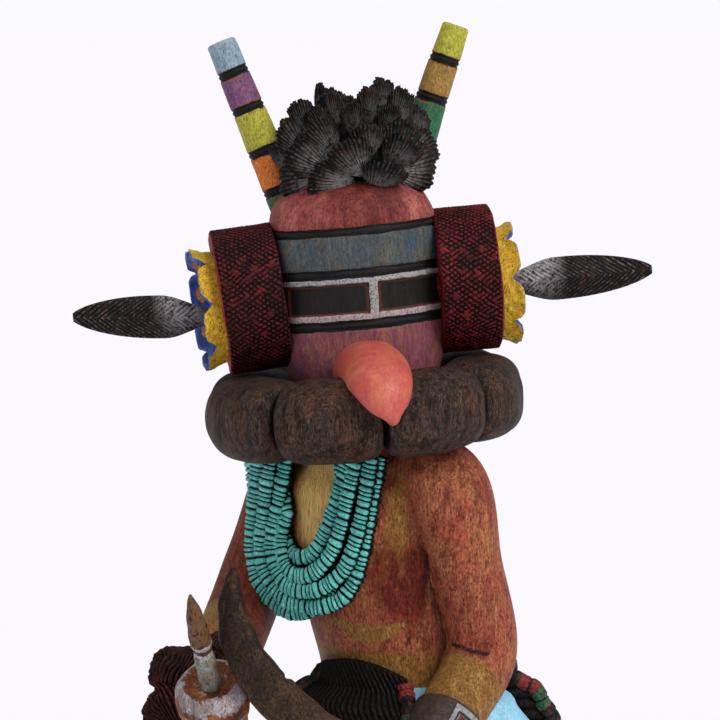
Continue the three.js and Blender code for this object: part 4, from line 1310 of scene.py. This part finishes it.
def carve_body():
    mesh, places = melted("figure_body", body_shells(), BODY_VOXEL, BODY_SOFTENING)
    from_centre = places - BODY_CENTRE
    sideways, forward = from_centre @ BODY_SIDE, from_centre @ BODY_FRONT
    x, z = places[:, 0], places[:, 2]
    on_arm, yellow, seam = arm_marks(places, forward)
    places = places - BODY_FRONT * (2.2 * seam)[:, None]
    mesh.vertices.foreach_set("co", (places * MM).astype(np.float32).ravel())
    chest = (forward > 5) & (on_arm < 0.5)
    on_elbow = (x > 24.2) & (x < 34.2) & (places[:, 1] < -17)
    crack = bell(z - 165.0 + 0.2 * (x - 24.6), 0.55) * on_elbow
    # A dark patch on the chest beside the left arm: painted shade.
    painted_armpit_shade = 0.38 * soft_spot((sideways + 0.28 * (z - 184), forward, z), (21.5, 4, 183), (3.4, 10, 12))
    shoes = (z < SHIN_LOW) * 1.0
    # dark: the elbow's crack line and the shoes' own dark brown, and painted shade in the chest's crease
    # beside each arm and in the patch by the left armpit
    dark = np.max([crack, 0.95 * seam, painted_armpit_shade * (on_arm < 0.5), shoes], axis=0)
    sag = z - (166.6 + 0.03 * (sideways - 9) ** 2)
    ends = within(1 - np.abs(sideways - 9) / 10.5) ** 0.4
    yellow = np.max([
        yellow,
        (z < SHIN_HIGH) & (z > SHIN_LOW),
        chest * 0.75 * soft_spot((sideways, z), (-4, 205), (9, 16)),
        chest * 0.7 * soft_spot((sideways, z), (19, 200), (4.5, 17)),
        chest * within(1.5 - np.abs(sag) / (2.7 * ends + 0.01)),
        chest * np.clip((163.5 - z) / 4, 0, 0.8) * (z > 150),
    ], axis=0)
    red = 0.95 * chest * soft_spot((sideways, z), (18, 182), (8, 12))
    red = red + 0.7 * soft_spot((sideways, forward, z), (24, 14, 176), (6, 9, 16))
    red = np.maximum(red, 0.6 * (on_arm > 0.5) * (places[:, 0] < 0))
    # pale: a light spot on the chest's middle, painted light where the ruff shades it
    pale = chest * soft_spot((sideways, z), (-5, 203), (8, 15))
    marks = {"yellow": yellow, "dark": dark, "red": red, "pale": pale}
    add_marks(mesh, {name: values[:, None] for name, values in marks.items()})
    mesh.materials.clear()
    show_mesh("figure_body", mesh, skin_paint(), "figure")


def on_chest(flat, lift):
    """A point of the necklace's flat outline laid on the chest, lifted off it by some distance."""
    u, z = flat[..., 0], flat[..., 2]
    return body_place(u, 17.4 - 0.0042 * u**2 - 0.012 * (z - 190) + lift, z)


def carve_necklace():
    rows, cols = NECKLACE_GRID
    edges = [[(u, 0, z) for u, z in edge] for edge in (NECKLACE_INNER, NECKLACE_OUTER)]
    inner, outer = (smooth_path(edge, rows)[0] for edge in edges)
    t = np.linspace(0, 1, rows)
    spin = NECKLACE_TWIST * (1 - t) ** 1.3
    turn = round_turns(cols)
    across, over = fuller(np.sin(turn), 0.7), fuller(np.cos(turn), 0.7)
    dice = np.random.default_rng(7)
    shells = []
    for k in range(NECKLACE_STRANDS):
        spot = 2 * PI * (k + 0.5) / NECKLACE_STRANDS + spin + 0.25 * np.sin(7 * t + k)
        flat = inner + (outer - inner) * (0.5 + 0.41 * 2 / PI * np.arcsin(np.cos(spot)))[:, None]
        path, along = smooth_path(on_chest(flat, 2.3 * np.sin(spot))[::3], rows)
        travelled = distance_along(path)
        bead = travelled / BEAD_PITCH + 0.25 * np.sin(travelled * 0.9 + k) + dice.uniform()
        jitter = dice.uniform(-1, 1, 200)[np.floor(bead).astype(int) % 200]
        cut = bell(bead % 1 - 0.5, 0.17)
        side = unit(np.cross(along, BODY_FRONT))
        wide = BEAD_HALF_WIDE * (1 - 0.15 * cut + 0.08 * jitter)
        deep = BEAD_HALF_DEEP * (1 - 0.5 * cut + 0.12 * jitter)
        rings = rings_round(path, side, np.cross(side, along), wide[:, None] * across, deep[:, None] * over)
        rings = rings + 0.18 * ripple(rings, 2.6, 50 + k)[..., None] * BODY_FRONT
        # Relief is low at the bead cuts and on each strand's back and lower sides, which the paint darkens as
        # painted shade.
        relief = (1 - cut)[:, None] * within(0.3 + 1.2 * np.cos(turn))[None]
        shells.append(tube_shell(rings, relief=relief))
    # A sheet behind the strands, wholly in the dark cut colour: painted shade in the gaps between strands.
    share = np.linspace(0.14, 0.82, 20)[None, :, None]
    painted_shade_sheet = inner[::4, None] + (outer - inner)[::4, None] * share
    shells.append(sheet_shell(on_chest(painted_shade_sheet, 0.4), on_chest(painted_shade_sheet, -3.2), relief=np.zeros(painted_shade_sheet.shape[:2])))
    # dark cut colour: bead cuts and painted shade on the strands' backs; pale brush: painted highlight on the
    # strands' outward tops
    look = cut_paint_and_shade("turquoise_paint", TURQUOISE, colour(70, 160, 156), colour(142, 224, 212),
                     colour(8, 14, 14), 0.55, colour(186, 236, 226), 0.45, 0.2)
    show("figure_necklace", shells, look, "figure")


def kilt_middle(z):
    share = within((z - HIPS[2]) / (WAIST[2] - HIPS[2]))[..., None]
    middle = HIPS + (WAIST - HIPS) * share + np.array([KILT_SHIFT, 0, 0])
    middle[..., 2] = z
    return middle


def on_kilt(turn, z, out):
    """A point on the kilt's surface, at a turn from the body's front, standing out by some distance."""
    section = eased(KILT_STOPS, np.clip(z, KILT_HEM, KILT_TOP))
    aside = (section[..., 0] + out) * np.sin(turn)
    ahead = (section[..., 1] + out) * np.cos(turn)
    return kilt_middle(z) + BODY_SIDE * aside[..., None] + BODY_FRONT * ahead[..., None]


def carve_kilt():
    turn = round_turns(KILT_COLUMNS)[None]
    closing = np.linspace(0.1, 0.98, 5)
    cloth = np.linspace(KILT_HEM, KILT_TOP, KILT_ROWS)
    z = np.concatenate([np.full(5, KILT_HEM), cloth, np.full(5, KILT_TOP)])[:, None] + 0 * turn
    share = np.concatenate([closing, np.ones(KILT_ROWS), closing[::-1]])[:, None] + 0 * turn
    folds = within((150 - z) / 50) * (0.8 * np.cos(9 * turn + 0.7) + 0.5 * np.cos(17 * turn + 2))
    middle = kilt_middle(z)
    rings = middle + (on_kilt(turn + 0 * z, z, folds - 0.6) - middle) * share[..., None]
    hem = ((z < KILT_HEM + KILT_BORDER) & (share > 0.99)) * 1.0
    show("figure_kilt", [tube_shell(rings, hem=hem)], kilt_paint(), "figure")


def apron_edge(down):
    return np.sqrt(np.maximum(0.03, 1 - down**5))


def apron_height(down, across, raised):
    """The height of a place on an apron, down from its arched top and across it."""
    arch = APRON_ARCH * across**2
    return APRON_TOP + raised - arch - down * (APRON_LENGTH - arch)


def carve_apron(name, facing, half_turn, raised, belly, look):
    """A hank of yarn that hangs over the kilt."""
    down, across = lengthwise_and_across(*APRON_GRID)
    turn = facing + 1.03 * across * half_turn * apron_edge(down)
    z = apron_height(down, across, raised)
    swirl = across * 11 - 10 * down**0.8 * (1 - 0.35 * across) + 0.16 * np.sin(5 * down + 4 * across)
    relief = np.abs(np.cos(PI * swirl)) ** 0.7
    bundle = 2.4 + belly * np.sin(PI * within(down * 0.9 + 0.1)) ** 0.6
    crown = bundle * (1 - 0.4 * np.abs(across) ** 6)
    front = on_kilt(turn, z, crown - 1.0 * (1 - relief))
    back = on_kilt(turn, z, -1.6 + 0 * turn)
    show(f"figure_{name}", [sheet_shell(front, back, relief=relief)], look, "figure")


def carve_apron_roll(name, facing, half_turn, raised, stands_out, plain, look):
    """The bound roll round an apron's edge, black over its first plain share."""
    fall = np.linspace(0.0, 0.97, 40)
    lap = np.concatenate([fall, np.full(24, 0.985), fall[::-1]])
    way = np.concatenate([np.full(40, -1.0), np.linspace(-1, 1, 26)[1:-1], np.full(40, 1.0)])
    start, end = stands_out
    out = start + (end - start) * within(lap * 3.2) ** 0.7
    out = out * within(0.1 + lap / 0.06) ** 0.5 * (1 - 0.6 * lap**4)
    route = on_kilt(facing + way * half_turn * apron_edge(lap), apron_height(lap, way, raised), out)
    rows, cols = ROLL_GRID
    path, along = smooth_path(route[::2], rows)
    travelled = np.linspace(0, distance_along(path)[-1], rows)[:, None]
    spin = round_turns(cols)[None]
    side = unit(np.cross(along, unit(path - kilt_middle(path[:, 2]))))
    turn_share = (travelled / ROLL_TURN) % 1
    strands = np.abs(np.cos(4 * spin + PI * travelled / 4.2))
    relief = within(strands**0.6) * within(np.minimum(turn_share, 1 - turn_share) * 10)
    radius = ROLL_RADIUS - 0.5 * (1 - relief)
    rings = rings_round(path, side, np.cross(side, along), radius * np.sin(spin), radius * np.cos(spin))
    length = travelled[-1, 0]
    coloured = (np.floor((length - travelled) / ROLL_TURN) + 1) % 3 + 0.5
    segment = np.where(travelled < plain * length, 2.5, coloured) + 0 * spin
    show(f"figure_{name}_roll", [tube_shell(rings, relief=relief, segment=segment)], look, "figure")


def carve_tuft():
    ball, t, turn = ball_rings(*TUFT_GRID, 0.04)
    shells = []
    for k, (centre, radii, pole) in enumerate(TUFT_LOBES):
        axis = unit(np.array(pole, float))
        across = unit(np.cross(axis, BODY_FRONT))
        lobe = ball @ np.stack([across, np.cross(axis, across), axis])
        strands = np.abs(np.cos(22 * turn + 4.5 * np.cos(t) + 2.2 * ripple(lobe * 8, 7, 90 + k))) ** 0.8
        lump = 1 + 0.1 * ripple(lobe * 8, 6, 95 + k) + 0.05 * ripple(lobe * 8, 2.2, 99 + k)
        place = np.array(centre) + lobe * np.array(radii) * ((0.87 + 0.13 * strands) * lump)[..., None]
        shells.append(tube_shell(place, relief=strands * within(np.sin(t) * 3)))
    look = cut_paint_and_shade("tuft_paint", colour(42, 26, 25), colour(78, 34, 32), colour(20, 16, 16),
                     colour(8, 6, 6), 0.6, colour(134, 72, 62), 0.3)
    show("figure_wrist_tuft", shells, look, "figure")


def guard_stretch():
    """The stretch of the left arm under the bow guard: its path, its direction and the guard's radius."""
    path, along = smooth_path(LEFT_ARM, 200)
    radius = eased(ARM_STOPS, np.linspace(0, 1, 200))[:, 0] + GUARD_THICK
    return path[GUARD_SPAN], along[GUARD_SPAN], radius[GUARD_SPAN]


def carve_bow_guard():
    path, along, radius = guard_stretch()
    turn = round_turns(72)
    side = unit(np.cross(along, ARM_FRONT))
    step = np.arange(len(path))
    edge = within(np.minimum(step, step[::-1]) / 2.5)
    size = (radius - 1.2 * (1 - np.sqrt(1 - (1 - edge) ** 2)))[:, None]
    rings = rings_round(path, side, np.cross(side, along), size * np.sin(turn), size * np.cos(turn))
    leather = rubbed_paint("guard_leather", colour(66, 50, 45), colour(44, 35, 33), colour(90, 74, 68), 0.5,
                           0.6, 0.5)
    show("figure_bow_guard", [tube_shell(rings)], leather, "figure")


def carve_guard_plaque():
    """A raised frame with a sunk groove round a stone, bent round the outer side of the bow guard."""
    path, along, radius = guard_stretch()
    low, high = PLAQUE_ENDS
    v, u = np.linspace(low, high, 48)[:, None], np.linspace(-1, 1, 48)[None]
    step = (v[:, 0] * (len(path) - 1)).astype(int)
    path, along, radius = path[step], along[step], radius[step][:, None]
    direct = unit(PLAQUE_FACING - along * (along @ PLAQUE_FACING)[:, None])
    across = np.cross(along, direct)
    bend = PLAQUE_BEND * u
    inward = np.minimum(1 - np.abs(u), 2 * np.minimum(v - low, high - v) / (high - low))
    step_down = within((inward - 0.2) / 0.06) - 0.6 * within((inward - 0.34) / 0.06)
    ray = direct[:, None] * np.cos(bend)[..., None] + across[:, None] * np.sin(bend)[..., None]
    front = path[:, None] + ray * (radius + 1.0 - 0.55 * step_down)[..., None]
    back = path[:, None] + ray * (radius - 1.0)[..., None]
    stone = within((inward - 0.34) / 0.05)
    groove = 1 - bell(inward - 0.27, 0.05)
    shell = sheet_shell(front, back, relief=groove, stone=stone)
    show("figure_guard_plaque", [shell], plaque_paint(), "figure")


# What the hands hold, and the slab

def carve_rattle_stem():
    rows, cols = STEM_GRID
    low, high = STEM_STOPS[0][0], STEM_STOPS[-1][0]
    heights = np.linspace(low, high, rows)
    rings, _ = axis_rings(GOURD_CENTRE, HANDLE_AXIS, heights, np.interp(heights, *zip(*STEM_STOPS)), cols)
    rings = rings + 0.1 * ripple(rings, 4, 61)[..., None]
    along = np.linspace(0, 1, rows)[:, None] * np.ones((1, cols))
    show("rattle_stem", [tube_shell(rings, along=along)], handle_paint(), "rattle_handle")


def carve_gourd():
    rows, cols = GOURD_GRID
    path, _ = smooth_path([(radius, 0, height) for height, radius in GOURD_OUTLINE], rows)
    rings, _ = axis_rings(GOURD_CENTRE, HANDLE_AXIS, path[:, 2], path[:, 0], cols)
    rings = rings + 0.4 * ripple(rings, 6, 67)[..., None] * unit(rings - GOURD_CENTRE)
    along = np.linspace(0, 1, rows)[:, None] * np.ones((1, cols))
    show("rattle_gourd_shell", [tube_shell(rings, along=along)], gourd_paint(), "rattle_gourd")


def carve_stick():
    rings, t, turn = limb(STICK_ROUTE, STICK_STOPS, *STICK_GRID, FORWARD)
    middle = rings.mean(1, keepdims=True)
    chip = bell(t - 0.35, 0.008) * bell(turn - 1.5 * PI, 0.7)
    rings = rings + (0.2 * ripple(rings, 6, 71) - 0.9 * chip)[..., None] * unit(rings - middle)
    shell = tube_shell(rings, along=t)
    show("curved_throwing_stick", [shell], stick_stain(), "curved_stick")


def carve_slab():
    turn = round_turns(SLAB_COLUMNS)[None]
    quarter = np.linspace(0, PI / 2, 9)[1:]
    edge_low = SLAB_HEIGHT - SLAB_EDGE
    heights = np.concatenate([
        np.zeros(8), [0, 0.3, 1], np.linspace(1.5, edge_low, 22), edge_low + SLAB_EDGE * np.sin(quarter),
        np.full(10, SLAB_HEIGHT),
    ])[:, None]
    share = np.concatenate([
        np.linspace(0.05, 0.95, 8), [0.98, 0.994, 1], np.ones(22), 1 - 0.06 * (1 - np.cos(quarter)),
        np.linspace(0.92, 0.05, 10),
    ])[:, None]
    bark = 0.988 + 0.006 * np.cos(5 * turn + 1) + 0.005 * np.cos(9 * turn)
    size = share * (bark + 0.004 * np.cos(23 * turn + 0.2 * heights))
    x, y = SLAB_HALF_WIDTH * size * np.cos(turn), SLAB_HALF_DEPTH * size * np.sin(turn)
    place = np.stack([x, y, heights + 0 * turn], -1)
    show("oiled_slab", [tube_shell(place)], slab_wood(), "slab")


# Studio

def aim_at(holder, place, target):
    holder.location = place
    holder.rotation_euler = (Vector(target) - Vector(place)).to_track_quat("-Z", "Y").to_euler()


def set_camera():
    camera = bpy.data.cameras.new("camera")
    camera.sensor_width = 36
    camera.lens = CAMERA_LENS
    camera.clip_end = 50
    holder = bpy.data.objects.new("camera", camera)
    bpy.context.scene.collection.objects.link(holder)
    back, up = CAMERA_DISTANCE * math.cos(CAMERA_RISE), CAMERA_DISTANCE * math.sin(CAMERA_RISE)
    aim_at(holder, (0, -back, CAMERA_HEIGHT + up), (0, 0, CAMERA_HEIGHT))
    bpy.context.scene.camera = holder


def lay_floor():
    mesh = bpy.data.meshes.new("floor")
    reach = FLOOR_REACH
    corners = [(-reach, -reach, 0), (reach, -reach, 0), (reach, reach, 0), (-reach, reach, 0)]
    mesh.from_pydata(corners, [], [(0, 1, 2, 3)])
    floor = bpy.data.objects.new("floor", mesh)
    bpy.context.scene.collection.objects.link(floor)
    pale = bpy.data.materials.new("pale_floor")
    pale.use_nodes = True
    shader = pale.node_tree.nodes["Principled BSDF"]
    shader.inputs["Base Color"].default_value = (0.97, 0.951, 0.99, 1)
    shader.inputs["Roughness"].default_value = 0.9
    shader.inputs["Specular IOR Level"].default_value = 0.0
    mesh.materials.append(pale)


def set_backdrop():
    """Soft light from all round, and a paler backdrop that only the camera sees."""
    world = bpy.data.worlds.new("studio")
    bpy.context.scene.world = world
    world.use_nodes = True
    tree = world.node_tree
    glow = tree.nodes["Background"]
    glow.inputs["Color"].default_value = (0.97, 0.97, 1.0, 1)
    glow.inputs["Strength"].default_value = 0.36
    backdrop = tree.nodes.new("ShaderNodeBackground")
    backdrop.inputs["Color"].default_value = (0.955, 0.95, 0.99, 1)
    ray = tree.nodes.new("ShaderNodeLightPath")
    mix = tree.nodes.new("ShaderNodeMixShader")
    tree.links.new(ray.outputs["Is Camera Ray"], mix.inputs["Fac"])
    tree.links.new(glow.outputs[0], mix.inputs[1])
    tree.links.new(backdrop.outputs[0], mix.inputs[2])
    tree.links.new(mix.outputs[0], tree.nodes["World Output"].inputs["Surface"])


def hang_softboxes():
    for name, place, angle, power in SOFTBOXES:
        lamp = bpy.data.lights.new(name, "SUN")
        lamp.energy = power
        lamp.angle = math.radians(angle)
        holder = bpy.data.objects.new(name, lamp)
        bpy.context.scene.collection.objects.link(holder)
        aim_at(holder, place, (0, 0, 0))


bpy.context.scene.view_settings.view_transform = "Standard"
set_camera()
lay_floor()
set_backdrop()
hang_softboxes()

carve_mask()
carve_ruff()
blossom_look = blossom_paint()
plume_look = feather_paint("plume_paint", colour(158, 146, 142), 0.45, colour(30, 25, 24))
for side, ground in EAR_GROUND.items():
    carve_ear(side, ear_paint(side, ground))
    carve_blossom(side, blossom_look)
    carve_ear_feather(side, plume_look)
for side, paints in HORN_BANDS.items():
    carve_horn(side, horn_paint(side, paints))
carve_crest()
carve_beak()
carve_body()
carve_necklace()
carve_kilt()
strand_look = cut_paint_and_shade("strand_paint", colour(26, 22, 20), colour(17, 15, 14), colour(36, 28, 23),
                        colour(4, 3, 3), 0.5, colour(84, 74, 66), 0.3)
roll_look = roll_paint()
for name, (facing, half_turn, raised, belly, stands_out, plain) in APRONS.items():
    carve_apron(name, facing, half_turn, raised, belly, strand_look)
    carve_apron_roll(name, facing, half_turn, raised, stands_out, plain, roll_look)
carve_tuft()
carve_bow_guard()
carve_guard_plaque()
carve_rattle_stem()
carve_gourd()
carve_stick()
carve_slab()
